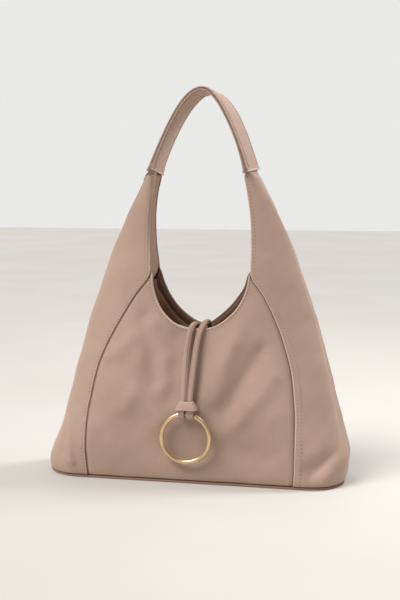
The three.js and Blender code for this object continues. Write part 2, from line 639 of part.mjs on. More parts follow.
// Chosen points of each cord's route, from the tab inside the mouth, over the front rim, to the keeper.
// x is from the ring's middle, y is a share of the way from the middle plane to the ring, z is from the rim.
const CORD_ROUTES = {
  tie_cord_left: [
    [7, TAB_SHARE, -19],
    [7, TAB_SHARE, -13.5],
    [6.9, 0.26, -9.5],
    [6.8, 0.1, -6],
    [6.6, -0.1, -2.4],
    [5.9, -0.27, 1.4],
    [4.5, -0.43, 2.9],
    [2.8, -0.56, 0.2],
    [1.1, -0.63, -6],
    [-0.9, -0.68, -18],
    [-2.1, -0.78, -38],
    [-2.2, -0.86, -55],
    [-1.9, -0.94, -72],
    [-1.6, -1, -84.5],
  ],
  tie_cord_right: [
    [15.3, TAB_SHARE, -19],
    [15.4, TAB_SHARE, -13],
    [15.8, 0.25, -7.5],
    [16.6, 0.08, -2],
    [17.6, -0.12, 2.8],
    [18.2, -0.3, 5.7],
    [17.6, -0.43, 5.4],
    [15.8, -0.54, 2],
    [13.4, -0.615, -4],
    [10.5, -0.68, -18],
    [8.3, -0.78, -38],
    [7.1, -0.86, -55],
    [6.1, -0.94, -72],
    [5.6, -1, -84.5],
  ],
};

const cordPoint = ([x, y, z]) => new THREE.Vector3(RING_X + x, -y * RING_Y, MOUTH_HEIGHT + z);

// A cord is a flattened tube along its route, whose width lies across the bag
function cord(name) {
  const line = new THREE.CatmullRomCurve3(CORD_ROUTES[name].map(cordPoint), false, "centripetal");
  const rings = steps(CORD_STEPS, 0, 1).map((t) => {
    const centre = line.getPointAt(t);
    const tangent = line.getTangentAt(t);
    const width = new THREE.Vector3(1, 0, 0).addScaledVector(tangent, -tangent.x).normalize();
    const up = new THREE.Vector3().crossVectors(width, tangent);
    return Array.from({ length: CORD_SIDES }, (_, i) => {
      const angle = (2 * Math.PI * (i + 0.5)) / CORD_SIDES;
      const [w, h] = [(CORD_WIDTH * Math.cos(angle)) / 2, (CORD_THICKNESS * Math.sin(angle)) / 2];
      return centre.clone().addScaledVector(width, w).addScaledVector(up, h);
    });
  });
  return tube(rings);
}

// The keeper is a leather band round both cords and the tops of the loops, narrower above than below
function keeper() {
  const topHalf = CORD_WIDTH + 1.5 * CORD_GAP + KEEPER_WALL;
  const topDepth = CORD_THICKNESS / 2 + 3 * CORD_GAP + KEEPER_WALL;
  const ring = (share, inset) => {
    const half = mix(KEEPER_BOTTOM_WIDTH / 2, topHalf, share) - inset;
    const deep = mix(KEEPER_HALF_DEPTH, topDepth, share) - inset;
    const corner = Math.min(half, deep) * KEEPER_CORNER;
    const z = KEEPER_BOTTOM + share * KEEPER_HEIGHT;
    const plan = [];
    for (const [sx, sy] of [[1, 1], [-1, 1], [-1, -1], [1, -1]]) {
      const turn = sx * sy > 0 ? [0, 30, 60, 90] : [90, 60, 30, 0];
      for (const angle of turn.map((a) => a * DEGREE))
        plan.push([
          sx * (half - corner + corner * Math.cos(angle)),
          sy * (deep - corner + corner * Math.sin(angle)),
        ]);
    }
    return plan.map(([x, y]) => new THREE.Vector3(RING_X + KEEPER_X + x, RING_Y + y, z));
  };
  const rows = steps(KEEPER_ROWS, 0, 1);
  return shell(rows.map((v) => ring(v, 0)), rows.map((v) => ring(v, KEEPER_WALL)), true);
}

// A loop goes down in front of the wire, under it and up behind it
function ringLoop(name) {
  const { x, width } = LOOPS[name];
  const line = [];
  for (const z of [LOOP_LEG, LOOP_LEG / 2]) line.push([-LOOP_RADIUS, z, -1, 0]);
  for (let i = 0; i <= LOOP_STEPS; i += 1) {
    const angle = Math.PI + (Math.PI * i) / LOOP_STEPS;
    const [c, s] = [Math.cos(angle), Math.sin(angle)];
    line.push([LOOP_RADIUS * c, LOOP_RADIUS * s, c, s]);
  }
  for (const z of [LOOP_LEG / 2, LOOP_LEG]) line.push([LOOP_RADIUS, z, 1, 0]);
  return tube(
    line.map(([y, z, ny, nz]) =>
      Array.from({ length: LOOP_SIDES }, (_, i) => {
        const angle = (2 * Math.PI * (i + 0.5)) / LOOP_SIDES;
        const [across, out] = [(Math.cos(angle) * width) / 2, (Math.sin(angle) * LOOP_THICKNESS) / 2];
        return new THREE.Vector3(RING_X + x + across, RING_Y + y + ny * out, RING_TOP + z + nz * out);
      }),
    ),
  );
}

// The tab is a flat piece
function tieTab() {
  const tab = new THREE.BoxGeometry(TAB_WIDTH, TAB_THICKNESS, TAB_HEIGHT);
  tab.translate(RING_X + TAB_X, TAB_BACK - TAB_THICKNESS / 2, TAB_TOP - TAB_HEIGHT / 2);
  return tab;
}

add("left_wing", wing(-1), LEATHER);
add("right_wing", wing(1), LEATHER);
add("front_panel", centrePanel("front"), LEATHER);
add("back_panel", centrePanel("back"), LEATHER);
add("base_panel", basePanel(), EDGE);
add("front_facing", mouthFacing("front"), EDGE);
add("back_facing", mouthFacing("back"), EDGE);
add("left_riser_facing", riserFacing(-1), EDGE);
add("right_riser_facing", riserFacing(1), EDGE);
add("lining", lining(), LINING);
add("strap_outer", strapLayer(1), LEATHER);
add("strap_inner", strapLayer(-1), LEATHER);
add("tie_tab", tieTab(), EDGE);
add("tie_cord_left", cord("tie_cord_left"), LEATHER);
add("tie_cord_right", cord("tie_cord_right"), LEATHER);
add("keeper", keeper(), LEATHER);
for (const name of Object.keys(LOOPS)) add(name, ringLoop(name), LEATHER);

const ring = add("ring", new THREE.TorusGeometry(RING_RADIUS, WIRE_RADIUS, RING_SIDES, RING_STEPS), GOLD);
ring.rotation.x = Math.PI / 2;
ring.position.set(RING_X, RING_Y, RING_TOP - RING_RADIUS);

export default group;
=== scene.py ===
"""Looks of a slouchy leather shoulder bag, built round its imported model.

Lengths are in millimetres until mesh_piece turns them into metres. +Z is up and the front faces -Y.
"""

import math
from types import SimpleNamespace

import bpy
import numpy as np
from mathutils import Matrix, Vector


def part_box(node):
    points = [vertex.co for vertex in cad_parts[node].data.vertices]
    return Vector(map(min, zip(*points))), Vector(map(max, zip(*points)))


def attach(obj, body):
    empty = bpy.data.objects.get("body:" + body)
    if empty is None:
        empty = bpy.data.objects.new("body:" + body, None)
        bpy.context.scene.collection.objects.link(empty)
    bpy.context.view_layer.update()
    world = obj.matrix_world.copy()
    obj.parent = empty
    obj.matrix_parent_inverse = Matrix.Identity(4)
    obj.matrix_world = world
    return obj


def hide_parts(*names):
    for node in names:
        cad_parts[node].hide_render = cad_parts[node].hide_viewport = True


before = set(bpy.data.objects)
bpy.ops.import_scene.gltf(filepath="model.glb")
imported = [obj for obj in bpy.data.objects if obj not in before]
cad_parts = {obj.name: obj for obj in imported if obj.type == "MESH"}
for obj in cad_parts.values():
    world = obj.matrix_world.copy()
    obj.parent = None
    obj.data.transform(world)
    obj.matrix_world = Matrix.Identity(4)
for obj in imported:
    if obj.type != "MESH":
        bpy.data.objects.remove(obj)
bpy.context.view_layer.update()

MM = 0.001

# Driving dimensions of the body, as in the model
BODY_WIDTH = 374
BODY_DEPTH = 107
CUFF_HEIGHT = 367
MOUTH_HEIGHT = 184.5
MOUTH_RISE = 66
LEAN = 7

# Leather and the room between its layers
WALL = 1.6
LINING_WALL = 1
LAYER_GAP = 0.5
BUTT_GAP = 0.35
LAP = 8
LAP_SHARE = 0.4
FACING_WIDTH = 14
LINING_LAP = 4
BASE_THICKNESS = 3
BASE_INSET = 0.8

# Strap
STRAP_WIDTH = 38
STRAP_RISE = 94.5
STRAP_SPREAD = 58.8
ARCH_POINT = 0.12
ARCH_TIP = 0.2
ARCH_SKEW = 4
STRAP_WALL = 1.6
STRAP_THICKNESS = 5
CUFF_THICKNESS = 11
STRAP_GROOVE = 0.35
CUFF_CLEARANCE = 0.75
CUFF_EDGE_CLEARANCE = 1.7
TONGUE = 20
SQUEEZE = 7
TONGUE_FLAT = 0.92
FACING_MARGIN = 0.7
FACING_INSET = 0.8
FACING_END = 2
LEFT_TWIST = 7
RIGHT_TWIST = 11
LEFT_TWIST_LENGTH = 30
RIGHT_TWIST_LENGTH = 60

# Tie and ring
CORD_WIDTH = 6.8
CORD_THICKNESS = 5
CORD_GAP = 0.4
TIE_CLEARANCE = 0.5
RING_RADIUS = 28.7
WIRE_RADIUS = 2.6
RING_X = -1.8
RING_TOP = 85.5
RING_CLEARANCE = 1.4
LOOP_THICKNESS = 3.4
LOOP_LEG = 7.2
KEEPER_X = 2
KEEPER_LIFT = 6
KEEPER_HEIGHT = 11.2
KEEPER_WALL = 1.1
KEEPER_BOTTOM_WIDTH = 26
TAB_DROP = 6
TAB_THICKNESS = 2.5

# Camera, at the photograph's viewing angle: lengths in metres, angles in degrees
CAMERA_DISTANCE = 1.25
CAMERA_HEIGHT = 0.359
CAMERA_AZIMUTH = 12
CAMERA_YAW = -0.165
CAMERA_PITCH = 6.664
CAMERA_LENS = 62.5
SENSOR = 36

# Sections of the body: see the same table's columns in section()
SECTIONS = [
    dict(height=0.0, outer=0.984, inner=0.664, depth=0.94, end=0.5, round=0.95, fold=0.4),
    dict(height=0.033, outer=0.996, inner=0.668, depth=0.99, end=0.48, round=0.98, fold=0.36),
    dict(height=0.08, outer=0.984, inner=0.674, depth=1.0, end=0.44, round=1.1, fold=0.24),
    dict(height=0.145, outer=0.942, inner=0.677, depth=0.985, end=0.39, round=1.3, fold=0.14),
    dict(height=0.21, outer=0.905, inner=0.674, depth=0.94, end=0.35, round=1.5, fold=0.1),
    dict(height=0.28, outer=0.868, inner=0.658, depth=0.84, end=0.31, round=1.6, fold=0.08),
    dict(height=0.36, outer=0.831, inner=0.632, depth=0.7, end=0.25, round=1.6, fold=0.07),
    dict(height=0.44, outer=0.789, inner=0.58, depth=0.55, end=0.18, round=1.5, fold=0.06),
    dict(height=0.52, outer=0.747, inner=0.508, depth=0.41, end=0.13, round=1.5, fold=0.055),
    dict(height=0.6, outer=0.694, inner=0.42, depth=0.32, end=0.09, round=1.35, fold=0.05),
    dict(height=0.68, outer=0.64, inner=0.322, depth=0.24, end=0.07, round=1.15, fold=0.05),
    dict(height=0.76, outer=0.583, inner=0.326, depth=0.08, end=0.06, round=0.95, fold=0.05),
    dict(height=0.84, outer=0.511, inner=0.323, depth=-0.01, end=0.06, round=0.7, fold=0.05),
    dict(height=0.92, outer=0.436, inner=0.309, depth=-0.03, end=0.07, round=0.42, fold=0.05),
    dict(height=1.0, outer=0.352, inner=0.286, depth=-0.01, end=0.07, round=0.1, fold=0.05),
]
FACE_POWER = 2.2
SIDE_DENT = 0.11
CREASE_SHARE = 0.8
FOLD_FADE = 0.3
FOLD_LEFT = 0.15

# How far the sides and the seams have leant at a height, as shares of LEAN
LEANING = [
    dict(height=0.0, side=-0.12, seam=0.0),
    dict(height=0.04, side=0.0, seam=0.0),
    dict(height=0.1, side=0.7, seam=-0.1),
    dict(height=0.165, side=0.93, seam=-0.1),
    dict(height=0.26, side=0.93, seam=0.05),
    dict(height=0.355, side=0.93, seam=0.22),
    dict(height=0.436, side=0.93, seam=0.45),
    dict(height=0.493, side=0.93, seam=0.7),
    dict(height=0.561, side=0.93, seam=0.95),
    dict(height=0.62, side=0.93, seam=1.12),
    dict(height=0.68, side=0.93, seam=1.2),
    dict(height=0.78, side=0.95, seam=1.02),
    dict(height=0.88, side=0.98, seam=0.92),
    dict(height=1.0, side=1.0, seam=1.0),
]

# The rim of the mouth, as shares of MOUTH_RISE, from its middle to its corners
RIM = [
    dict(across=0.0, front=-0.02, back_left=-0.035, back_right=-0.035),
    dict(across=0.03, front=-0.02, back_left=-0.035, back_right=-0.035),
    dict(across=0.1, front=-0.018, back_left=-0.01, back_right=0.02),
    dict(across=0.2, front=0.012, back_left=0.07, back_right=0.13),
    dict(across=0.3, front=0.085, back_left=0.167, back_right=0.25),
    dict(across=0.4, front=0.185, back_left=0.277, back_right=0.375),
    dict(across=0.5, front=0.3, back_left=0.4, back_right=0.505),
    dict(across=0.6, front=0.435, back_left=0.527, back_right=0.625),
    dict(across=0.7, front=0.58, back_left=0.65, back_right=0.74),
    dict(across=0.8, front=0.705, back_left=0.75, back_right=0.865),
    dict(across=0.9, front=0.83, back_left=0.86, back_right=0.96),
    dict(across=1.0, front=1.0, back_left=1.0, back_right=1.0),
]

# Soft folds in the faces: x and wide are shares of half BODY_WIDTH, z of CUFF_HEIGHT and out of half BODY_DEPTH
FOLDS = [
    dict(face="front", x0=0.24, z0=0.46, x1=0.06, z1=0.25, wide=0.1, out=0.07),
    dict(face="front", x0=0.42, z0=0.42, x1=0.22, z1=0.24, wide=0.1, out=-0.08),
    dict(face="front", x0=-0.1, z0=0.47, x1=-0.12, z1=0.28, wide=0.09, out=-0.06),
    dict(face="front", x0=-0.3, z0=0.5, x1=-0.4, z1=0.24, wide=0.1, out=0.05),
    dict(face="front", x0=0.97, z0=0.14, x1=0.78, z1=0.07, wide=0.07, out=-0.1),
    dict(face="front", x0=-0.82, z0=0.16, x1=-0.78, z1=0.06, wide=0.05, out=0.06),
    dict(face="front", x0=-0.9, z0=0.16, x1=-0.86, z1=0.08, wide=0.05, out=-0.07),
    dict(face="back", x0=0.3, z0=0.46, x1=0.16, z1=0.22, wide=0.11, out=-0.06),
    dict(face="back", x0=-0.24, z0=0.46, x1=-0.34, z1=0.2, wide=0.1, out=0.05),
    dict(face="back", x0=-0.95, z0=0.13, x1=-0.8, z1=0.06, wide=0.07, out=-0.08),
]

STRAP_TWIST = [
    dict(along=-1.0, twist=LEFT_TWIST),
    dict(along=-0.6, twist=9),
    dict(along=-0.3, twist=10),
    dict(along=0.0, twist=6),
    dict(along=0.3, twist=-6),
    dict(along=0.6, twist=-12),
    dict(along=1.0, twist=-RIGHT_TWIST),
]

CUFF_SWELL = [
    dict(rise=0.0, swell=1.0),
    dict(rise=0.06, swell=0.6),
    dict(rise=0.16, swell=0.34),
    dict(rise=0.4, swell=0.06),
    dict(rise=0.6, swell=0.0),
    dict(rise=1.0, swell=0.0),
]

# The loops round the ring, with the middle of each from the ring's middle
LOOPS = {
    "ring_loop_left": dict(x=-3.9, width=8.2),
    "ring_loop_right": dict(x=6.3, width=9.2),
}

# Distances of the two rows of stitches from a wing's edge, at heights that are shares of CUFF_HEIGHT
STITCH_ROWS = [
    dict(height=0.0, left_first=1.8, left_second=4.6, right_first=2.4, right_second=8.5),
    dict(height=0.42, left_first=1.8, left_second=4.6, right_first=2.4, right_second=8.4),
    dict(height=0.54, left_first=1.8, left_second=4.6, right_first=2.4, right_second=6.4),
    dict(height=0.66, left_first=2.0, left_second=4.8, right_first=2.4, right_second=6.0),
    dict(height=0.72, left_first=3.2, left_second=7.0, right_first=2.4, right_second=4.6),
    dict(height=1.0, left_first=3.2, left_second=7.0, right_first=2.4, right_second=4.4),
]

# Other stitching: distances of the rows from an edge, pitch along a row, and the size of a stitch
RIM_ROW = 3.2
STRAP_ROW = 3.4
PITCH = 4.3
STITCH_LENGTH = 3.1
THREAD = 0.85

HALF_WIDTH = BODY_WIDTH / 2
HALF_DEPTH = BODY_DEPTH / 2
MOUTH_TOP = MOUTH_HEIGHT + MOUTH_RISE
WALL_BOTTOM = BASE_THICKNESS + BUTT_GAP
WING_END_DEPTH = STRAP_WIDTH / 2 - STRAP_WALL - CUFF_EDGE_CLEARANCE
LAYER = WALL + LAYER_GAP
LINING_DEPTH = 3 * LAYER + 2 * LAYER_GAP


def mix(a, b, t):
    return a + (b - a) * t


def smooth(t):
    t = np.clip(t, 0, 1)
    return t * t * (3 - 2 * t)


def column(table, key, name, at):
    """A smooth value from one column of a table, at places given in its first column. It never overshoots."""
    x = np.array([row[key] for row in table], float)
    y = np.array([row[name] for row in table], float)
    span, rise = np.diff(x), np.diff(y) / np.diff(x)
    slope = np.concatenate([rise[:1], np.zeros(len(x) - 2), rise[-1:]])
    same = rise[:-1] * rise[1:] > 0
    both = np.where(same, rise[:-1] + rise[1:], 1)
    slope[1:-1] = np.where(same, 2 * rise[:-1] * rise[1:] / both, 0)
    place = np.clip(at, x[0], x[-1])
    i = np.clip(np.searchsorted(x, place) - 1, 0, len(x) - 2)
    t, h = (place - x[i]) / span[i], span[i]
    return (
        y[i] * (1 + 2 * t) * (1 - t) ** 2
        + h * slope[i] * t * (1 - t) ** 2
        + y[i + 1] * t * t * (3 - 2 * t)
        + h * slope[i + 1] * t * t * (t - 1)
    )


ROUNDED = ARCH_POINT / (math.hypot(1, ARCH_TIP) - ARCH_TIP)
STRAP_TOP = CUFF_HEIGHT + STRAP_RISE


def arch_z(along):
    """Height of the strap's line at a share of the way to a cuff."""
    drop = (1 - ARCH_POINT) * along**2 + ROUNDED * (np.hypot(along, ARCH_TIP) - ARCH_TIP)
    return STRAP_TOP - STRAP_RISE * drop


def arch_out(z):
    """Distance of the strap's line from its middle at a height, as a share of STRAP_SPREAD."""
    bow = 1 - ARCH_POINT
    reach = ARCH_TIP * (bow * ARCH_TIP + ROUNDED) + (STRAP_TOP - z) / STRAP_RISE
    root = (np.hypot(ROUNDED, 2 * np.sqrt(bow * reach)) - ROUNDED) / (2 * bow)
    return np.sqrt(root**2 - ARCH_TIP**2)


def strap_thickness(z):
    swell = column(CUFF_SWELL, "rise", "swell", (z - CUFF_HEIGHT) / STRAP_RISE)
    return mix(STRAP_THICKNESS, CUFF_THICKNESS, swell)


def strap_shift(along):
    return LEAN + ARCH_SKEW * (1 - np.abs(along) ** 3)


def lean(z, share):
    """How far a point has leant: share is 0 up to the seam and 1 at the side."""
    side = column(LEANING, "height", "side", z / CUFF_HEIGHT)
    seam = column(LEANING, "height", "seam", z / CUFF_HEIGHT)
    body = LEAN * mix(seam, side, np.clip(share, 0, 1))
    above = np.maximum(z, CUFF_HEIGHT)
    return np.where(z > CUFF_HEIGHT, strap_shift(arch_out(above)), body)


def section(z):
    """The body's section at heights, in millimetres."""
    at = {name: column(SECTIONS, "height", name, z / CUFF_HEIGHT) for name in SECTIONS[0] if name != "height"}
    squeeze = smooth((z - CUFF_HEIGHT + SQUEEZE) / SQUEEZE)
    half = strap_thickness(z) / 2 - STRAP_WALL - CUFF_CLEARANCE
    arch = STRAP_SPREAD * arch_out(np.maximum(z, CUFF_HEIGHT - SQUEEZE))
    outer = mix(at["outer"] * HALF_WIDTH, arch + half, squeeze)
    inner = mix(at["inner"] * HALF_WIDTH, arch - half, squeeze)
    depth = mix(WING_END_DEPTH, HALF_DEPTH, at["depth"])
    end = mix(at["end"] * HALF_DEPTH, depth * TONGUE_FLAT, squeeze)
    reach = np.minimum(np.minimum(at["fold"] * HALF_DEPTH, end * CREASE_SHARE), (outer - inner) * LAP_SHARE)
    return SimpleNamespace(
        outer=outer,
        inner=inner,
        end=end,
        round=at["round"] * HALF_DEPTH,
        reach=reach,
        edge=outer - reach,
        depth=depth,
        dent=SIDE_DENT * end * (1 - squeeze),
    )


def face_depth(s, x):
    share = np.clip((s.outer - x) / s.round, 0, 1)
    return s.end + (s.depth - s.end) * (1 - (1 - share) ** FACE_POWER)


def fold_out(back, x, z):
    """How far the folds push a face out."""
    out = np.zeros(np.shape(x))
    for fold in FOLDS + DRAPES:
        ax, az = fold["x0"] * HALF_WIDTH, fold["z0"] * CUFF_HEIGHT
        bx, bz = fold["x1"] * HALF_WIDTH - ax, fold["z1"] * CUFF_HEIGHT - az
        along = np.clip(((x - ax) * bx + (z - az) * bz) / (bx * bx + bz * bz), 0, 1)
        away = np.hypot(x - ax - along * bx, z - az - along * bz) / (fold["wide"] * HALF_WIDTH)
        on = back == (fold["face"] == "back")
        out += np.where(on, fold["out"] * HALF_DEPTH * np.exp(-2 * away**2), 0)
    return out


def skin(side, around, z):
    """Points of the outer skin. around goes from 0 at the front's middle to 1 at the seam, 2 at the crease,
    3 and 4 on the side strip, 5 past the back crease, 6 at the back seam and 7 at the back's middle."""
    around, z = np.broadcast_arrays(np.asarray(around, float), np.asarray(z, float))
    s = section(z)
    back = around > 3.5
    u = np.where(back, 7 - around, around)
    x_face = np.where(u <= 1, u * s.inner, mix(s.inner, s.edge, u - 1))
    fade = np.minimum((s.edge - x_face) / (s.round * FOLD_FADE) + FOLD_LEFT, 1)
    y_face = face_depth(s, x_face) + fold_out(back, side * x_face, z) * fade
    t = np.clip(u - 2, 0, 1)
    flat = s.end - s.reach
    x_flat = s.outer - s.dent * (1 - (flat / s.end) ** 2)
    x_bend = (1 - t) ** 2 * s.edge + 2 * t * (1 - t) * s.outer + t * t * x_flat
    y_bend = (1 - t) ** 2 * face_depth(s, s.edge) + 2 * t * (1 - t) * s.end + t * t * flat
    y_bend += (1 - t) ** 2 * fold_out(back, side * s.edge, z) * FOLD_LEFT
    y_strip = flat * (1 - np.clip((u - 3) / 0.5, 0, 1))
    x_strip = s.outer - s.dent * (1 - (y_strip / s.end) ** 2)
    x = np.select([u <= 2, u <= 3], [x_face, x_bend], x_strip)
    y = np.select([u <= 2, u <= 3], [y_face, y_bend], y_strip)
    return place(s, side, x, np.where(back, y, -y), z)


def place(s, side, x, y, z):
    """Puts points of a section in place: a wing's upper end turns about its own middle, and all of it leans."""
    twist = np.radians(np.where(np.asarray(side) < 0, LEFT_TWIST, RIGHT_TWIST))
    length = np.where(np.asarray(side) < 0, LEFT_TWIST_LENGTH, RIGHT_TWIST_LENGTH)
    angle = twist * smooth((z - CUFF_HEIGHT + length) / length)
    middle = side * (s.outer + s.inner) / 2
    away, c, n = side * x - middle, np.cos(angle), np.sin(angle)
    shift = lean(z, (x - s.inner) / (s.outer - s.inner))
    return np.stack([middle + away * c + y * n + shift, y * c - away * n, z + 0 * x], -1)


def unit(v):
    return v / np.maximum(np.linalg.norm(v, axis=-1, keepdims=True), 1e-12)


def outward(side, around, z, surface=skin):
    """The skin's outward normals."""
    step, rise = 0.02, 0.6
    across = surface(side, around + step, z) - surface(side, np.maximum(around - step, 0), z)
    up = surface(side, around, z + rise) - surface(side, around, z - rise)
    return unit(np.cross(across, up)) * np.asarray(side, float)[..., None]


def rim_height(face, across):
    """Height of the rim at a share of the way to a corner of the mouth, which is negative on the left."""
    place = np.minimum(np.abs(across), 1)
    right = column(RIM, "across", "front" if face == "front" else "back_right", place)
    left = column(RIM, "across", "front" if face == "front" else "back_left", place)
    return MOUTH_HEIGHT + MOUTH_RISE * np.where(np.asarray(across) < 0, left, right)


def panel_place(across, z):
    """The place round the skin of a column of a centre panel: across is 1 at the seam and 2 at the lap's edge."""
    s = section(z)
    lap = np.minimum(LAP, (s.edge - s.inner) * LAP_SHARE)
    return np.where(across <= 1, across, 1 + (across - 1) * lap / (s.edge - s.inner))


# Folds that only the finished leather shows, with the same columns as FOLDS
DRAPES = [
    dict(face="front", x0=-0.34, z0=0.53, x1=-0.23, z1=0.33, wide=0.069, out=-0.051),
    dict(face="front", x0=-0.42, z0=0.46, x1=-0.51, z1=0.41, wide=0.075, out=0.045),
    dict(face="front", x0=-0.53, z0=0.37, x1=-0.39, z1=0.31, wide=0.062, out=-0.034),
    dict(face="front", x0=-0.36, z0=0.31, x1=-0.16, z1=0.21, wide=0.062, out=0.045),
    dict(face="front", x0=-0.17, z0=0.39, x1=-0.15, z1=0.33, wide=0.075, out=0.04),
    dict(face="front", x0=0.29, z0=0.5, x1=0.17, z1=0.28, wide=0.075, out=0.04),
    dict(face="front", x0=0.44, z0=0.44, x1=0.27, z1=0.26, wide=0.069, out=-0.04),
    dict(face="front", x0=0.53, z0=0.35, x1=0.3, z1=0.2, wide=0.075, out=0.051),
    dict(face="front", x0=0.2, z0=0.12, x1=0.5, z1=0.1, wide=0.1, out=-0.034),
    dict(face="front", x0=0.91, z0=0.116, x1=0.78, z1=0.047, wide=0.04, out=-0.04),
    dict(face="front", x0=0.95, z0=0.075, x1=0.86, z1=0.03, wide=0.04, out=0.04),
    dict(face="front", x0=-0.86, z0=0.14, x1=-0.76, z1=0.05, wide=0.035, out=0.025),
    dict(face="back", x0=-0.1, z0=0.44, x1=-0.16, z1=0.26, wide=0.07, out=-0.04),
    dict(face="back", x0=0.45, z0=0.34, x1=0.3, z1=0.18, wide=0.06, out=0.04),
    dict(face="front", x0=-0.12, z0=0.11, x1=0.32, z1=0.1, wide=0.17, out=-0.07),
    dict(face="front", x0=0.42, z0=0.27, x1=0.52, z1=0.22, wide=0.12, out=0.05),
    dict(face="front", x0=-0.5, z0=0.3, x1=-0.42, z1=0.27, wide=0.12, out=0.04),
]


def waviness(p, size, height):
    """Gentle unevenness of soft leather: a few sines in different directions."""
    total = 0
    for k, (dx, dy, dz) in enumerate(((1, 0.4, 0.3), (-0.5, 0.8, 0.9), (0.3, -1, 0.6), (0.9, 0.5, -1))):
        reach = 2 * math.pi * (1 + 0.27 * k) / size
        total = total + np.sin((p[..., 0] * dx + p[..., 1] * dy + p[..., 2] * dz) * reach + 1.7 * k) / (1 + 0.5 * k)
    return total * height / 2


def groove(distance, at, depth, width):
    return -depth * np.exp(-(((distance - at) / width) ** 2))


def roll(distance, radius):
    """How deep a turned edge lies at a distance from the edge."""
    t = np.clip(1 - distance / radius, 0, 1)
    return -radius * (1 - np.sqrt(1 - t * t))


# Mesh making


def grid_faces(rows, cols, start=0, closed=False):
    """Quads of a grid of points, row after row."""
    r, c = np.meshgrid(np.arange(rows - 1), np.arange(cols if closed else cols - 1), indexing="ij")
    a, b = start + r * cols + c, start + r * cols + (c + 1) % cols
    return np.stack([a, b, b + cols, a + cols], -1).reshape(-1, 4)


def shell_faces(rows, cols, closed=False):
    """Quads of a closed solid between an outer and an inner grid."""
    size = rows * cols
    outer, inner = grid_faces(rows, cols, 0, closed), grid_faces(rows, cols, size, closed)[:, ::-1]
    c = np.arange(cols if closed else cols - 1)
    d = (c + 1) % cols
    low = np.stack([c, c + size, d + size, d], -1)
    top = (rows - 1) * cols
    high = np.stack([c + top, d + top, d + top + size, c + top + size], -1)
    faces = [outer, inner, low, high]
    if not closed:
        r = np.arange(rows - 1) * cols
        end = r + cols - 1
        faces.append(np.stack([r, r + cols, r + cols + size, r + size], -1))
        faces.append(np.stack([end, end + size, end + cols + size, end + cols], -1))
    return np.concatenate(faces)


def volume(points, faces):
    a = points[faces[:, 0]]
    total = 0
    for k in range(1, faces.shape[1] - 1):
        total += np.einsum("ij,ij->i", a, np.cross(points[faces[:, k]], points[faces[:, k + 1]])).sum()
    return total


def mesh_piece(name, points, faces, material, slot, body="bag", nodes=(), **fields):
    """A smooth mesh that rides on a body and stands for CAD nodes, with a value per point for each field."""
    points, faces = np.reshape(points, (-1, 3)), np.asarray(faces)
    if volume(points, faces) < 0:
        faces = faces[:, ::-1]
    mesh = bpy.data.meshes.new(name)
    mesh.from_pydata((points * MM).tolist(), [], faces.tolist())
    mesh.polygons.foreach_set("use_smooth", np.ones(len(mesh.polygons), bool))
    for field, values in fields.items():
        layer = mesh.attributes.new(field, "FLOAT", "POINT")
        layer.data.foreach_set("value", np.ravel(values).astype(np.float32))
    mesh.materials.append(material)
    piece = bpy.data.objects.new(name, mesh)
    bpy.context.scene.collection.objects.link(piece)
    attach(piece, body)
    if nodes:
        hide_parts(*nodes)
    return piece


def shell_piece(name, outer, normals, thickness, edges, material, slot, nodes=(), closed=False, **fields):
    """A leather layer: a grid of points, its normals, its thickness, and the distance of each point from the
    layer's free edges, near which it thins to a rounded edge."""
    half = thickness / 2
    pinch = 0.35 / 0.5 * roll(edges, half)[..., None] * normals
    front = outer + pinch
    behind = outer - thickness * normals - pinch
    rows, cols = outer.shape[:2]
    both = {k: np.stack([v, v]) for k, v in fields.items()}
    faces = shell_faces(rows, cols, closed)
    return mesh_piece(name, np.stack([front, behind]), faces, material, slot, nodes=nodes, **both)


def tube_points(line, ups, profile):
    """Rings of a profile along a line: profile holds offsets sideways and up, one per point or per ring."""
    tangent = unit(np.gradient(line, axis=0))
    sideways = unit(np.cross(tangent, ups))
    up = np.cross(sideways, tangent)
    return line[:, None] + sideways[:, None] * profile[..., 0:1] + up[:, None] * profile[..., 1:2]


def capped_tube(rings):
    """Points and faces of a tube with its ends closed by fans."""
    rows, cols = rings.shape[:2]
    points = np.concatenate([rings.reshape(-1, 3), rings[[0, -1]].mean(1)])
    quads = grid_faces(rows, cols, 0, True)
    c = np.arange(cols)
    d = (c + 1) % cols
    top = (rows - 1) * cols
    start = np.stack([d, c, c * 0 + rows * cols, c * 0 + rows * cols], -1)
    end = np.stack([c + top, d + top, c * 0 + rows * cols + 1, c * 0 + rows * cols + 1], -1)
    return points, quads, np.concatenate([start, end])[:, :3]


def tube_piece(name, rings, material, slot, body="bag", nodes=(), **fields):
    """A tube through rings of points, with closed ends."""
    points, quads, fans = capped_tube(rings)
    if volume(points, quads) + volume(points, fans) < 0:
        quads, fans = quads[:, ::-1], fans[:, ::-1]
    mesh = bpy.data.meshes.new(name)
    mesh.from_pydata((points * MM).tolist(), [], quads.tolist() + fans.tolist())
    mesh.polygons.foreach_set("use_smooth", np.ones(len(mesh.polygons), bool))
    for field, values in fields.items():
        ends = [np.mean(values[0]), np.mean(values[-1])]
        layer = mesh.attributes.new(field, "FLOAT", "POINT")
        layer.data.foreach_set("value", np.concatenate([np.ravel(values), ends]).astype(np.float32))
    mesh.materials.append(material)
    piece = bpy.data.objects.new(name, mesh)
    bpy.context.scene.collection.objects.link(piece)
    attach(piece, body)
    if nodes:
        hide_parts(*nodes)
    return piece


# Materials


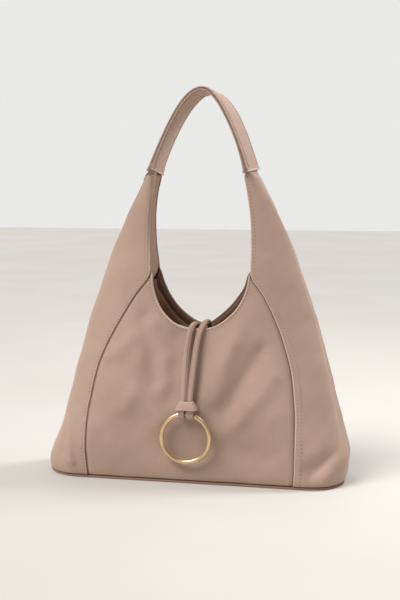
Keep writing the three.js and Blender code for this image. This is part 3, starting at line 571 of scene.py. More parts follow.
class Nodes:
    """A short way to build a node material."""

    def __init__(self, name):
        self.material = bpy.data.materials.new(name)
        self.material.use_nodes = True
        self.tree = self.material.node_tree
        self.shader = next(n for n in self.tree.nodes if n.type == "BSDF_PRINCIPLED")
        self.where = self.add("ShaderNodeTexCoord").outputs["Object"]

    def add(self, kind, inputs=None, **settings):
        node = self.tree.nodes.new(kind)
        for key, value in settings.items():
            setattr(node, key, value)
        for key, value in (inputs or {}).items():
            self.set(node.inputs[key], value)
        return node

    def set(self, socket, value):
        if isinstance(value, bpy.types.NodeSocket):
            self.tree.links.new(value, socket)
        else:
            socket.default_value = value

    def noise(self, scale, detail=3, roughness=0.5, distortion=0):
        inputs = {"Vector": self.where, "Scale": scale, "Detail": detail, "Roughness": roughness}
        return self.add("ShaderNodeTexNoise", {**inputs, "Distortion": distortion}).outputs["Fac"]

    def range(self, value, low, high, to_low=0, to_high=1):
        inputs = {"Value": value, "From Min": low, "From Max": high, "To Min": to_low, "To Max": to_high}
        return self.add("ShaderNodeMapRange", inputs).outputs["Result"]

    def math(self, operation, a, b):
        return self.add("ShaderNodeMath", {0: a, 1: b}, operation=operation).outputs[0]

    def blend(self, share, a, b):
        node = self.add("ShaderNodeMix", data_type="RGBA")
        for socket, value in ((node.inputs[0], share), (node.inputs[6], a), (node.inputs[7], b)):
            self.set(socket, value)
        return node.outputs[2]

    def field(self, name):
        return self.add("ShaderNodeAttribute", attribute_name=name).outputs["Fac"]

    def bump(self, height, strength, distance, below=None):
        inputs = {"Height": height, "Strength": strength, "Distance": distance}
        if below is not None:
            inputs["Normal"] = below
        return self.add("ShaderNodeBump", inputs).outputs["Normal"]

    def finish(self, **inputs):
        for key, value in inputs.items():
            self.set(self.shader.inputs[key.replace("_", " ")], value)
        return self.material


def colour(red, green, blue):
    """A linear colour from sRGB values up to 255."""
    return tuple((v / 255 / 12.92 if v <= 10 else ((v / 255 + 0.055) / 1.055) ** 2.4) for v in (red, green, blue)) + (1,)


def suede(name, light, dark, lift, seam):
    """Nubuck leather: cloudy colour, fine nap and soft pebbling. Edges and creases are painted paler, partly real
    scuffing and partly painted highlight, and seams, grooves and hollows get painted shade in the seam colour.
    """
    n = Nodes(name)
    cloud = n.range(n.noise(16, 4, 0.55), 0.3, 0.7)
    pores = n.range(n.noise(900, 4, 0.7), 0.3, 0.7)
    nap = n.noise(2600, 2, 0.6)
    share = n.math("ADD", n.math("MULTIPLY", cloud, 0.6), n.math("MULTIPLY", pores, 0.4))
    base = n.blend(share, dark, light)
    # Paler edges and creases: partly real scuffing, partly painted highlight
    worn_and_lit = n.blend(n.math("MULTIPLY", n.field("wear"), 0.7), base, lift)
    # Painted shade, in the seam colour
    shaded = n.blend(n.field("shade"), worn_and_lit, seam)
    pebble = n.bump(n.noise(420, 3, 0.55), 0.08, 0.0003)
    fine = n.bump(nap, 0.08, 0.0001, pebble)
    rough = n.range(pores, 0, 1, 0.78, 0.92)
    return n.finish(
        Base_Color=shaded,
        Roughness=rough,
        Normal=fine,
        Sheen_Weight=0.25,
        Sheen_Roughness=0.45,
        Sheen_Tint=colour(235, 215, 200),
        Specular_IOR_Level=0.3,
    )


def woven(name, light, dark):
    """A plain fine weave."""
    n = Nodes(name)
    warp = n.add("ShaderNodeTexWave", {"Vector": n.where, "Scale": 550, "Distortion": 0.4}, bands_direction="X")
    weft = n.add("ShaderNodeTexWave", {"Vector": n.where, "Scale": 550, "Distortion": 0.4}, bands_direction="Z")
    weave = n.math("MULTIPLY", warp.outputs["Fac"], weft.outputs["Fac"])
    cloud = n.range(n.noise(40, 3), 0.3, 0.7)
    base = n.blend(n.math("MULTIPLY", n.math("ADD", weave, cloud), 0.5), dark, light)
    return n.finish(Base_Color=base, Roughness=0.9, Normal=n.bump(weave, 0.3, 0.0002), Sheen_Weight=0.1)


def gold(name):
    """Polished pale gold with faint brushing and smudges."""
    n = Nodes(name)
    smudge = n.range(n.noise(260, 4), 0.35, 0.7, 0.31, 0.35)
    base = n.blend(n.range(n.noise(60, 2), 0.3, 0.7), colour(218, 190, 146), colour(234, 210, 168))
    scratch = n.bump(n.noise(1400, 2), 0.01, 0.0001)
    return n.finish(Base_Color=base, Metallic=1.0, Roughness=smudge, Normal=scratch)


def thread(name, tint):
    n = Nodes(name)
    ply = n.noise(3000, 2)
    base = n.blend(n.range(ply, 0.3, 0.7), tint, colour(214, 186, 168))
    return n.finish(Base_Color=base, Roughness=0.7, Normal=n.bump(ply, 0.4, 0.0001), Sheen_Weight=0.2)


def plain(name, tint, roughness):
    n = Nodes(name)
    mottle = n.range(n.noise(300, 3), 0.3, 0.7)
    darker = tuple(v * 0.8 for v in tint[:3]) + (1,)
    return n.finish(Base_Color=n.blend(mottle, tint, darker), Roughness=roughness)


# The last two colours of each suede are the paler colour of its scuffed and highlighted edges and the colour of its
# painted shade
LEATHER = suede("taupe_suede", colour(185, 157, 142), colour(168, 140, 124), colour(216, 190, 174), colour(92, 68, 56))
# A darker copy of the leather, painted shade, for the facings inside the mouth, the base and the tab inside
SHADED_SUEDE = suede("shaded_suede", colour(142, 110, 92), colour(126, 96, 79), colour(196, 168, 152), colour(118, 84, 66))
TIE = suede("tie_suede", colour(184, 156, 141), colour(171, 143, 127), colour(212, 186, 170), colour(104, 78, 66))
LINING = woven("lining_weave", colour(196, 152, 126), colour(160, 120, 96))
GOLD = gold("pale_gold")
THREAD_PALE = thread("pale_thread", colour(182, 155, 139))
THREAD_DEEP = thread("deep_thread", colour(136, 108, 93))
# Needle holes: dark, painted shade
HOLE_SHADE = plain("stitch_hole_shade", colour(92, 68, 56), 0.9)


# Body


def spaced(start, stop, step):
    """Even values from start to stop, about a step apart."""
    return np.linspace(start, stop, max(2, int(round(abs(stop - start) / step)) + 1))


WING_NEAR = np.array([0, 0.2, 0.5, 0.9, 1.4, 1.9, 2.5, 3.1, 3.8, 4.6, 5.6, 6.6, 7.6, 8.4, 9.2, 10.2])


# How far the front edge of the left wing wraps round onto its inner side, in millimetres
WRAP = [
    dict(height=0.7, wrap=0.0),
    dict(height=0.79, wrap=3.5),
    dict(height=0.9, wrap=4.5),
    dict(height=0.96, wrap=7.5),
    dict(height=1.0, wrap=10.0),
]
WRAP_ROUND = 4


def wrap(side, z):
    return column(WRAP, "height", "wrap", z / CUFF_HEIGHT) * (side < 0)


def wing_skin(side, around, z):
    """The skin as the wings have it: places below 1 lie round the edge, on the wing's inner side."""
    points = skin(side, np.maximum(around, 1), z)
    if side > 0:
        return points
    s, reach = section(z), wrap(side, z)
    along = (around - 1) * (s.edge - s.inner)
    bend = np.hypot(along, WRAP_ROUND * smooth(reach / WRAP_ROUND))
    x = s.inner + (along + bend) / 2
    turned = place(s, side, x, (bend - along) / 2 - face_depth(s, x), z + 0 * around)
    return np.where(((around < 2) & (reach > 0))[..., None], turned, points)


def wing_columns(side, z):
    """Places round the skin of a wing's columns at heights, close together beside its seams."""
    s = section(z)
    width = s.edge - s.inner
    halves = []
    for reach in (wrap(side, z), 0 * z):
        near = 1 + (WING_NEAR * np.minimum(1, 0.5 * width / WING_NEAR[-1]) - reach) / width
        rest = mix(near[:, -1:], 2, np.linspace(0, 1, 40)[1:])
        bend = np.broadcast_to(2 + np.linspace(0, 1, 12)[1:], (len(z), 11))
        strip = np.broadcast_to(3 + np.linspace(0, 0.5, 9)[1:], (len(z), 8))
        halves.append(np.concatenate([near, rest, bend, strip], 1))
    return np.concatenate([halves[0], 7 - halves[1][:, -2::-1]], 1)


def wing_rows(side, z):
    """Distances of the stitch rows from a wing's edge at a height."""
    name = "right" if side > 0 else "left"
    return [column(STITCH_ROWS, "height", f"{name}_{row}", z / CUFF_HEIGHT) for row in ("first", "second")]


def wing_relief(distance, rows):
    """Relief beside a wing's stitched edge: a turned edge, a padded band and a furrow at each row."""
    first, second = rows
    band = 0.45 * smooth(distance / 1.2) * (1 - smooth((distance - second + 0.4) / 2.2))
    return roll(distance, 1.2) + band + groove(distance, first, 0.4, 0.6) + groove(distance, second, 0.45, 0.7)


def wing(side):
    z = np.concatenate([
        WALL_BOTTOM + np.array([0, 0.25, 0.6, 1.1, 1.8]),
        spaced(WALL_BOTTOM + 3, CUFF_HEIGHT + 4, 1.9),
        spaced(CUFF_HEIGHT + 4, CUFF_HEIGHT + TONGUE, 4)[1:],
    ])[:, None]
    around = wing_columns(side, z)
    points, normals = wing_skin(side, around, z), outward(side, around, z, wing_skin)
    step = np.linalg.norm(np.diff(points, axis=1), axis=2)
    run = np.concatenate([np.zeros((len(z), 1)), np.cumsum(step, 1)], 1)
    edge = np.minimum(run, run[:, -1:] - run)
    above = z - WALL_BOTTOM
    rows = wing_rows(side, z)
    relief = wing_relief(edge, rows) + roll(above, 1.2)
    relief = relief + waviness(points, 46, 0.35) * smooth(edge / 14) * smooth((CUFF_HEIGHT - 12 - z) / 40)
    furrow = sum(np.exp(-(((edge - row) / 0.7) ** 2)) for row in rows)
    u = np.where(around > 3.5, 7 - around, around)
    # A painted highlight along the crease between the face and the side strip
    crease_highlight = np.exp(-(((u - 2.3) / 0.3) ** 2)) * smooth((z - 12) / 50) * smooth((320 - z) / 60)
    # Paler seam edges, partly real scuffing and partly painted highlight
    wear = np.clip(np.exp(-(((edge - 0.8) / 0.6) ** 2)) + 0.6 * crease_highlight + 0 * z, 0, 1)
    # Painted shade in the stitch furrows and along the bottom edge above the base
    shade = np.clip(0.22 * furrow + 0.5 * np.exp(-above / 1.2), 0, 1)
    free = np.minimum(edge, above + 0 * edge)
    name = "right_wing" if side > 0 else "left_wing"
    surface = points + relief[..., None] * normals
    shell_piece(name + "_leather", surface, normals, WALL, free, LEATHER, "suede", [name], wear=wear, shade=shade)
    for back in (False, True):
        wing_stitches(side, back)


def wing_stitches(side, back):
    """Both rows of stitches along one seam of a wing, from its base up to the cuff."""
    z = spaced(WALL_BOTTOM + 2.5, CUFF_HEIGHT - 3, 1.5)
    s = section(z)
    reach = 0 * z if back else wrap(side, z)
    for row in range(2):
        around = 1 + (wing_rows(side, z)[row] / slant(side, z, back) - reach) / (s.edge - s.inner)
        keep = around < 1.75
        u = np.where(back, 7 - around, around)[keep]
        points, normals = wing_skin(side, u, z[keep]), outward(side, u, z[keep], wing_skin)
        sew("body_stitches", points - 0.1 * normals, normals)


def slant(side, z, back):
    """How much longer the skin is than its width beside the seam."""
    step = 0.05
    at = np.where(back, 6.0, 1.0) + 0 * z
    s = section(z)
    run = np.linalg.norm(skin(side, at + (-step if back else step), z) - skin(side, at, z), axis=-1)
    return run / (step * (s.edge - s.inner))


STITCHES = {}


def sew(group, points, normals, pitch=PITCH, length=STITCH_LENGTH, width=THREAD):
    """Lays stitches along a line of points. They are joined into one mesh later."""
    run = np.concatenate([[0], np.cumsum(np.linalg.norm(np.diff(points, axis=0), axis=1))])
    count = int(run[-1] // pitch)
    middles = (np.arange(count) + 0.5) * run[-1] / max(count, 1)
    at = lambda values, d: np.stack([np.interp(d, run, values[:, k]) for k in range(3)], -1)
    start, end = at(points, middles - length / 2), at(points, middles + length / 2)
    STITCHES.setdefault(group, []).append((start, end, unit(at(normals, middles)), width))


def capsule_rings():
    """Unit offsets of a stitch's rings: how far along it and how wide."""
    along = np.array([-1, -0.8, -0.35, 0.35, 0.8, 1])
    wide = np.array([0.35, 0.85, 1, 1, 0.85, 0.35])
    return along, wide


def stitches_piece(group, material, hole):
    """All the stitches of a group as one mesh, and the needle holes between them as another, coloured dark as painted
    shade.
    """
    along, wide = capsule_rings()
    sides = 6
    angle = np.arange(sides) * 2 * math.pi / sides
    points, holes = [], []
    for start, end, normal, width in STITCHES[group]:
        middle, half = (start + end) / 2, (end - start) / 2
        cross = unit(np.cross(normal, half))
        ring = cross[:, None] * np.cos(angle)[:, None] + normal[:, None] * np.sin(angle)[:, None] * 0.8
        body = middle[:, None, None] + half[:, None, None] * along[:, None, None]
        arch = normal[:, None, None] * (0.25 * (wide - 1) * width)[:, None, None]
        points.append(body + arch + ring[:, None] * (wide * width / 2)[:, None, None])
        for point in (start, end):
            pit = point[:, None, None] + half[:, None, None] * (along * 0.22)[:, None, None]
            sink = -normal[:, None, None] * 0.22
            holes.append(pit + sink + ring[:, None] * (wide * width * 0.62)[:, None, None])
    for name, sets, look in ((group, points, material), (group + "_holes", holes, hole)):
        rings = np.concatenate(sets).reshape(-1, len(along), sides, 3)
        count, rows = rings.shape[:2]
        quads = grid_faces(rows, sides, 0, True)
        low = np.arange(sides)[::-1].reshape(1, -1)
        high = low[:, ::-1] + (rows - 1) * sides
        size = rows * sides
        faces = (quads[None] + (np.arange(count) * size)[:, None, None]).reshape(-1, 4).tolist()
        for ends in (low, high):
            faces += (ends[None] + (np.arange(count) * size)[:, None, None]).reshape(-1, sides).tolist()
        mesh = bpy.data.meshes.new(name)
        mesh.from_pydata((rings.reshape(-1, 3) * MM).tolist(), [], faces)
        mesh.polygons.foreach_set("use_smooth", np.ones(len(mesh.polygons), bool))
        mesh.materials.append(look)
        piece = bpy.data.objects.new(name, mesh)
        bpy.context.scene.collection.objects.link(piece)
        outward_faces(mesh)
        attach(piece, "bag")


def outward_faces(mesh):
    """Turns a mesh's faces so that they point out."""
    import bmesh

    work = bmesh.new()
    work.from_mesh(mesh)
    bmesh.ops.recalc_face_normals(work, faces=work.faces)
    work.to_mesh(mesh)
    work.free()


def panel_grid(face, across, share, bottom, top):
    """Skin points and normals of a centre panel's columns, at shares of the way between two heights."""
    z = mix(bottom(across), top(across), share)
    u = panel_place(np.abs(across), z)
    side = np.where(across < 0, -1.0, 1.0) + 0 * z
    around = np.where(face == "front", u, 7 - u)
    points, normals = np.zeros(z.shape + (3,)), np.zeros(z.shape + (3,))
    for way in (-1.0, 1.0):
        at = side == way
        points[at] = skin(way, around[at], z[at])
        normals[at] = outward(way, around[at], z[at])
    return points, normals, z


def rim_line(face):
    across = np.linspace(-1, 1, 241)
    points, normals, z = panel_grid(face, across, 1.0, lambda a: 0 * a, lambda a: rim_height(face, a))
    return points, normals


def distance_to(points, line):
    """Distances of a grid of points from a line of points."""
    flat = points.reshape(-1, 3)
    nearest = np.full(len(flat), 1e9)
    a, b = line[:-1], line[1:]
    for start, end in zip(a, b):
        along = np.clip(((flat - start) @ (end - start)) / max((end - start) @ (end - start), 1e-9), 0, 1)
        nearest = np.minimum(nearest, np.linalg.norm(flat - start - along[:, None] * (end - start), axis=1))
    return nearest.reshape(points.shape[:-1])


PANEL_PUFF = 1.25


# Strength of the painted shade low on the front, right of its middle
LOW_FRONT_SHADE = 0.17


def centre_panel(face):
    """A centre panel, puffed out beside its seams, with a turned and stitched rim."""
    lap = np.array([1.12, 1.5, 2.0])
    middle = np.concatenate([-np.linspace(0, 1, 84)[::-1] ** 0.92, (np.linspace(0, 1, 84) ** 0.92)[1:]])
    across = np.concatenate([-lap[::-1], middle, lap])[None, :]
    from_top = np.array([5.6, 4.8, 4.2, 3.7, 3.3, 2.9, 2.5, 2, 1.5, 1, 0.6, 0.3, 0.12, 0]) / 240
    share = np.concatenate([[0, 0.0015, 0.004, 0.008], np.linspace(0.014, 0.972, 116), 1 - from_top])[:, None]
    rim = lambda a: rim_height(face, a)
    points, normals, z = panel_grid(face, across, share, lambda a: WALL_BOTTOM + 0 * a, rim)
    line, _ = rim_line(face)
    from_rim = distance_to(points, line)
    s = section(z)
    from_seam = np.clip(1 - np.abs(across), 0, 1) * s.inner
    above = z - WALL_BOTTOM
    puff = PANEL_PUFF * smooth(from_seam / 6)
    relief = -LAYER + puff + roll(above, 1.2) + roll(from_rim, 1.0) + groove(from_rim, RIM_ROW, 0.45, 0.7)
    relief = relief + 0.35 * smooth(from_rim / 1.0) * (1 - smooth((from_rim - RIM_ROW) / 2))
    calm = smooth(from_seam / 16) * smooth(from_rim / 16)
    relief = relief + waviness(points, 52, 0.4) * calm
    # A paler line along the rim's edge, partly real scuffing and partly painted highlight; painted shade in the rim's
    # stitch furrow, in a thin line along each seam where the wing's edge laps over, along the bottom edge and low on
    # the front
    wear = np.exp(-(((from_rim - 0.6) / 0.7) ** 2))
    furrow = 0.3 * np.exp(-(((from_rim - RIM_ROW) / 0.7) ** 2))
    low_front_mask = np.exp(-(((points[..., 0] / HALF_WIDTH - 0.28) / 0.36) ** 2)) * smooth((0.34 - z / CUFF_HEIGHT) / 0.26)
    shade = furrow + np.exp(-((from_seam / 1.3) ** 2)) + 0.5 * np.exp(-above / 1.2) + LOW_FRONT_SHADE * low_front_mask
    shade = np.clip(shade, 0, 1)
    free = np.minimum(from_rim, above)
    surface = points + relief[..., None] * normals
    name = face + "_panel"
    shell_piece(name + "_leather", surface, normals, WALL, free, LEATHER, "suede", [name], wear=wear, shade=shade)
    rim_stitches(face)


def rim_stitches(face):
    """The row of stitches below the rim."""
    across = np.linspace(-0.97, 0.97, 200)
    drop = RIM_ROW
    for _ in range(2):
        points, normals, z = panel_grid(face, across, 1.0, lambda a: 0 * a, lambda a: rim_height(face, a) - drop)
        away = distance_to(points, rim_line(face)[0])
        drop = drop * RIM_ROW / np.maximum(away, 0.5)
    points, normals, z = panel_grid(face, across, 1.0, lambda a: 0 * a, lambda a: rim_height(face, a) - drop)
    depth = -LAYER + PANEL_PUFF * smooth((1 - np.abs(across)) * section(z).inner / 6)
    sew("rim_stitches", points + (depth - 0.05)[:, None] * normals, normals, pitch=3.9, length=2.7)


def mouth_facing(face):
    """The facing that lines the rim on the inside."""
    across = np.linspace(-1, 1, 151)[None, :]
    share = 1 - np.array([14, 13.2, 11.5, 9.5, 7.5, 6, 5.2, 4.7, 4.2, 3.7, 3.1, 2.6, 2.2, 1.8, 1.4, 1, 0.6, 0.3, 0]) / 14
    share = share[:, None]
    low = lambda a: rim_height(face, a) - FACING_WIDTH
    points, normals, z = panel_grid(face, across, share, low, lambda a: rim_height(face, a))
    line, _ = rim_line(face)
    from_rim = distance_to(points, line)
    depth = -2 * LAYER + 0.35 + roll(from_rim, 0.9)
    ends = (1 - np.abs(across)) * section(z).inner
    free = np.minimum(np.minimum(from_rim, ends), np.maximum(FACING_WIDTH * 0.85 - from_rim, 0))
    # Paler lines along the rim's edge and 3.4 mm below it, partly real scuffing and partly painted highlight; a line of
    # painted shade 1.9 mm below the rim, and darker from 4.2 mm below the rim down
    wear = 0.9 * np.exp(-(((from_rim - 0.5) / 0.8) ** 2)) + 0.45 * np.exp(-(((from_rim - 3.4) / 0.9) ** 2))
    shade = np.clip(0.7 * np.exp(-(((from_rim - 1.9) / 0.5) ** 2)) + smooth((from_rim - 4.2) / 0.8), 0, 1)
    surface = points + depth[..., None] * normals
    name = face + "_facing"
    fields = dict(wear=wear, shade=shade)
    shell_piece(name + "_leather", surface, normals, WALL + 0.2, free, SHADED_SUEDE, "leather_trim", [name], **fields)


FACING_TAIL = 19


def riser_facing(side):
    """The strip that closes a wing's inner side, from the mouth's corner up into the strap."""
    z = spaced(MOUTH_TOP - FACING_TAIL, CUFF_HEIGHT - FACING_END, 1.8)[:, None]
    s = section(z)
    below = smooth((MOUTH_TOP + FACING_END + 1.5 - z) / 2.5)
    half = face_depth(s, s.inner) - mix(WALL + FACING_MARGIN, 2 * LAYER + WALL + LAYER_GAP, below)
    share = np.sin(np.linspace(-1, 1, 25) * math.pi / 2)[None, :]
    y = mix(wrap(side, z) - half, half, (share + 1) / 2)
    flat = place(s, side, s.inner + FACING_INSET + 0 * share, y, z + 0 * share)
    across, up = np.gradient(flat, axis=1), np.gradient(flat, axis=0)
    normals = unit(np.cross(across, up)) * (-side)
    normals = np.where((normals[..., :1] * side) > 0, -normals, normals)
    edge = np.minimum(half - y, y - y[:, :1])
    free = np.minimum(edge, np.minimum(z - z[0], z[-1] - z) + 0 * edge)
    surface = flat + (groove(edge, 2.2, 0.2, 0.7) + waviness(flat, 34, 0.2))[..., None] * normals
    name = "right_riser_facing" if side > 0 else "left_riser_facing"
    # Paler edges, partly real scuffing and partly painted highlight
    wear = 0.5 * np.exp(-edge / 0.8)
    fields = dict(wear=wear, shade=0 * wear)
    shell_piece(name + "_leather", surface, normals, WALL, free, SHADED_SUEDE, "leather_trim", [name], **fields)


def base_panel():
    """The plate that the bag stands on, with a rounded lower and upper edge."""
    half = np.concatenate([np.linspace(0, 2, 60), np.linspace(2, 3, 14)[1:], np.linspace(3, 3.5, 8)[1:]])
    half = np.concatenate([half, 7 - half[-2::-1]])
    height = WALL_BOTTOM + 0 * half
    right = skin(1, half, height) - BASE_INSET * outward(1, half, height)
    left = skin(-1, half, height) - BASE_INSET * outward(-1, half, height)
    outline = np.concatenate([right[:-1], left[:0:-1]])[:, :2]
    middle = outline.mean(0)
    tangent = np.roll(outline, -1, 0) - np.roll(outline, 1, 0)
    out = unit(np.column_stack([tangent[:, 1], -tangent[:, 0]]))
    if ((outline - middle) * out).sum() < 0:
        out = -out
    profile = [(0.0, 0.9), (0.25, 0.35), (0.8, 0.0), (1.5, -0.1), (2.2, 0.0), (2.75, 0.3), (3.0, 0.8)]
    under = [np.column_stack([mix(middle, outline, t), np.zeros(len(outline))]) for t in (0.1, 0.45, 0.8)]
    side = [np.column_stack([outline - inset * out, np.full(len(outline), z)]) for z, inset in profile]
    upper = [np.column_stack([mix(middle, outline, t), np.full(len(outline), BASE_THICKNESS)]) for t in (0.8, 0.1)]
    rings = np.stack(under + side + upper)
    wear, shade = np.zeros(rings.shape[:2]), np.zeros(rings.shape[:2])
    # The sides are painted paler, up towards the bag's leather colour; the underside is painted darker as contact
    # shade, and the top, under the walls, as the shade of the crevice
    wear[5:8] = 0.3
    shade[:5] = 0.5
    shade[8:] = 0.9
    tube_piece("base_leather", rings, SHADED_SUEDE, "leather_trim", nodes=["base_panel"], wear=wear, shade=shade)


def lining():
    """The dark cup inside, a little creased."""
    floor = WALL_BOTTOM + WALL
    face = np.concatenate([np.linspace(0, 1, 40), np.linspace(1, 2, 12)[1:]])
    half = np.concatenate([face, [2.3, 2.6, 3, 3.5, 4, 4.4, 4.7], 7 - face[::-1]])
    columns = [(1.0, u) for u in half] + [(-1.0, u) for u in half[-2:0:-1]]
    side = np.array([c[0] for c in columns])
    u = np.array([c[1] for c in columns])
    across = side * np.minimum(u, 7 - u)
    rims = np.where(u > 3.5, rim_height("back", across), rim_height("front", across))
    top = np.minimum(rims - FACING_WIDTH + LINING_LAP, MOUTH_TOP - FACING_WIDTH)
    share = np.linspace(0, 1, 34)[:, None]

    def cup(more):
        z = mix(floor + more, top, share) + 0 * u
        points = np.zeros(z.shape + (3,))
        for way in (-1.0, 1.0):
            at = side == way
            normals = outward(way, u[at] + 0 * z[:, at], z[:, at])
            points[:, at] = skin(way, u[at] + 0 * z[:, at], z[:, at]) - (LINING_DEPTH + more) * normals
        return points

    outer, inner = cup(0), cup(LINING_WALL)
    inner = inner + np.array([0, 1, 0]) * waviness(inner, 60, 0.5)[..., None] * smooth(share[..., None] * 3)
    floor_rings = lambda ring, z, shares: np.stack([mix(np.array([0, 0, z]), ring * [1, 1, 0] + [0, 0, z], t) for t in shares])
    outside = floor_rings(outer[0], floor, (0.02, 0.3, 0.6, 0.85))
    inside = floor_rings(inner[0], floor + LINING_WALL, (0.85, 0.6, 0.3, 0.02))
    rings = np.concatenate([outside, outer, inner[::-1], inside])
    zero = np.zeros(rings.shape[:2])
    tube_piece("lining_cup", rings, LINING, "dark_lining", nodes=["lining"], wear=zero, shade=zero)


# Strap


def strap_frame(along):
    """Points of the strap's line, its width directions and its outward directions."""
    line = lambda t: np.stack([t * STRAP_SPREAD + strap_shift(t), 0 * t, arch_z(t)], -1)
    step = 0.002
    tangent = unit(line(along + step) - line(along - step))
    out = np.stack([-tangent[:, 2], 0 * along, tangent[:, 0]], -1)
    twist = np.radians(column(STRAP_TWIST, "along", "twist", along))[:, None]
    width = np.array([0, 1, 0]) * np.cos(twist) - out * np.sin(twist)
    return line(along), width, unit(np.cross(tangent, width))


STRAP_CORNER = 1.5


def strap_profile(half, top, base):
    """Half a strap's profile over its whole width, from one groove edge to the other."""
    corner = np.minimum(STRAP_CORNER, (top - base) * 0.6)
    turn = np.linspace(0, math.pi / 2, 7)
    wall = [(-half + 0.3, base), (-half, base + 0.35)]
    wall += [(-half, mix(base + 0.35, top - corner, t)) for t in (0.35, 0.7)]
    wall += [(-half + corner * (1 - math.cos(a)), top - corner * (1 - math.sin(a))) for a in turn]
    flat = np.linspace(-1, 1, 41)[1:-1]
    face = [(f * (half - corner), top + 0.35 * (1 - f * f)) for f in flat]
    return np.array(wall + face + [(-w, t) for w, t in wall[::-1]])


def strap_layer(way):
    """One layer of the strap, with a rolled hem at both cuffs and a stitched edge."""
    bunch = math.pi / 2.15
    along = np.sin(np.linspace(-1, 1, 260) * bunch) / math.sin(bunch)
    centre, width, out = strap_frame(along)
    run = np.concatenate([[0], np.cumsum(np.linalg.norm(np.diff(centre, axis=0), axis=1))])
    end = np.minimum(run, run[-1] - run)
    hem = HEM_SWELL * (1 - smooth((end - HEM + 0.8) / 1.6)) + roll(end, 1.1)
    thick = strap_thickness(arch_z(along)) / 2
    thick = thick - CUFF_PRESS * (thick - STRAP_THICKNESS / 2)
    slant = np.where(along < 0, *CUFF_SLANT[way]) * (1 - smooth(end / 16))
    drop = slant[:, None] * np.array([0, 0, -1.0])

    def layer(inset, swell):
        rings = []
        for k in range(len(along)):
            half = STRAP_WIDTH / 2 - inset + min(swell[k], 0)
            profile = strap_profile(half, thick[k] - inset + swell[k], STRAP_GROOVE / 2)
            row = groove(half - np.abs(profile[:, 0]), STRAP_ROW, 0.3, 0.6) * (inset == 0)
            ring = centre[k] + np.outer(profile[:, 0], width[k]) + np.outer(way * (profile[:, 1] + row), out[k])
            rings.append(ring + np.outer(profile[:, 0] / half, drop[k]))
        return np.stack(rings)

    outer, inner = layer(0, hem), layer(STRAP_WALL, 0 * hem)
    step = np.linalg.norm(np.diff(outer, axis=1), axis=2)
    across = np.concatenate([np.zeros((len(along), 1)), np.cumsum(step, 1)], 1)
    across = np.minimum(across, across[:, -1:] - across)
    corner = np.maximum(thick[:, None] - STRAP_CORNER, 0.6)
    # Paler along each layer's corner, partly real scuffing and partly painted highlight, and a painted highlight on the
    # hem's roll; darker side walls, and painted shade in the stitch groove and behind the hem
    lit = np.exp(-(((across - corner - 1.0) / 0.7) ** 2))
    rim = (0.9 * np.exp(-(((end - 1.4) / 1.2) ** 2)))[:, None] * smooth((across - 1.5) / 3)
    wear = np.clip(0.75 * lit + rim, 0, 1)
    wall = WALL_SHADE * (1 - smooth((across - corner + 0.6) / 1.2))
    row = 0.25 * np.exp(-(((across - corner - STRAP_ROW + 0.4) / 0.7) ** 2))
    shade = np.clip(wall + row + 0.25 * np.exp(-(((end - HEM - 0.3) / 0.6) ** 2))[:, None], 0, 1)
    name = "strap_outer" if way > 0 else "strap_inner"
    fields = dict(wear=np.stack([wear, wear]), shade=np.stack([shade, shade]))
    faces = shell_faces(*outer.shape[:2])
    mesh_piece(name + "_leather", np.stack([outer, inner]), faces, LEATHER, "suede", nodes=[name], **fields)
    keep = end > HEM + 1.5
    for edge in (-1, 1):
        line = centre + edge * (STRAP_WIDTH / 2 - STRAP_ROW) * width + way * (thick + 0.15)[:, None] * out
        sew("strap_stitches", line[keep], way * out[keep], pitch=4.0, length=2.8, width=0.7)


CUFF_PRESS = 0.3
CUFF_SLANT = {-1: (2.6, -0.6), 1: (-1.4, -0.6)}
HEM = 3
HEM_SWELL = 0.6
WALL_SHADE = 0.4


# Tie and ring

LOOP_RADIUS = WIRE_RADIUS + RING_CLEARANCE + LOOP_THICKNESS / 2
LOOP_SNUG = 1.0
KEEPER_HALF_DEPTH = LOOP_RADIUS + LOOP_THICKNESS / 2 + 2 * CORD_GAP + KEEPER_WALL
KEEPER_BOTTOM = RING_TOP + KEEPER_LIFT


RING_Y = -(float(face_depth(section(KEEPER_BOTTOM), 0)) + KEEPER_HALF_DEPTH + TIE_CLEARANCE)
TAB_TOP = MOUTH_HEIGHT - TAB_DROP
TAB_BACK = float(section(TAB_TOP).depth + fold_out(True, 0, TAB_TOP)) - LINING_DEPTH - LINING_WALL - BUTT_GAP
TAB_SHARE = (TAB_BACK - TAB_THICKNESS - CORD_THICKNESS / 2 - CORD_GAP) / -RING_Y

# Chosen points of each cord's route, as in the model: x from the ring's middle, y a share of the way from the
# middle plane to the ring, z from the rim
CORD_ROUTES = {
    "tie_cord_left": [
        (7, TAB_SHARE, -19),
        (7, TAB_SHARE, -13.5),
        (6.9, 0.26, -9.5),
        (6.8, 0.1, -6),
        (6.6, -0.1, -2.4),
        (5.9, -0.27, 1.4),
        (4.5, -0.43, 2.9),
        (2.8, -0.56, 0.2),
        (1.1, -0.63, -6),
        (-0.9, -0.68, -18),
        (-2.1, -0.78, -38),
        (-2.2, -0.86, -55),
        (-1.9, -0.94, -72),
        (-1.6, -1, -84.5),
    ],
    "tie_cord_right": [
        (15.3, TAB_SHARE, -19),
        (15.4, TAB_SHARE, -13),
        (15.8, 0.25, -7.5),
        (16.6, 0.08, -2),
        (17.6, -0.12, 2.8),
        (18.2, -0.3, 5.7),
        (17.6, -0.43, 5.4),
        (15.8, -0.54, 2),
        (13.4, -0.615, -4),
        (10.5, -0.68, -18),
        (8.3, -0.78, -38),
        (7.1, -0.86, -55),
        (6.1, -0.94, -72),
        (5.6, -1, -84.5),
    ],
}


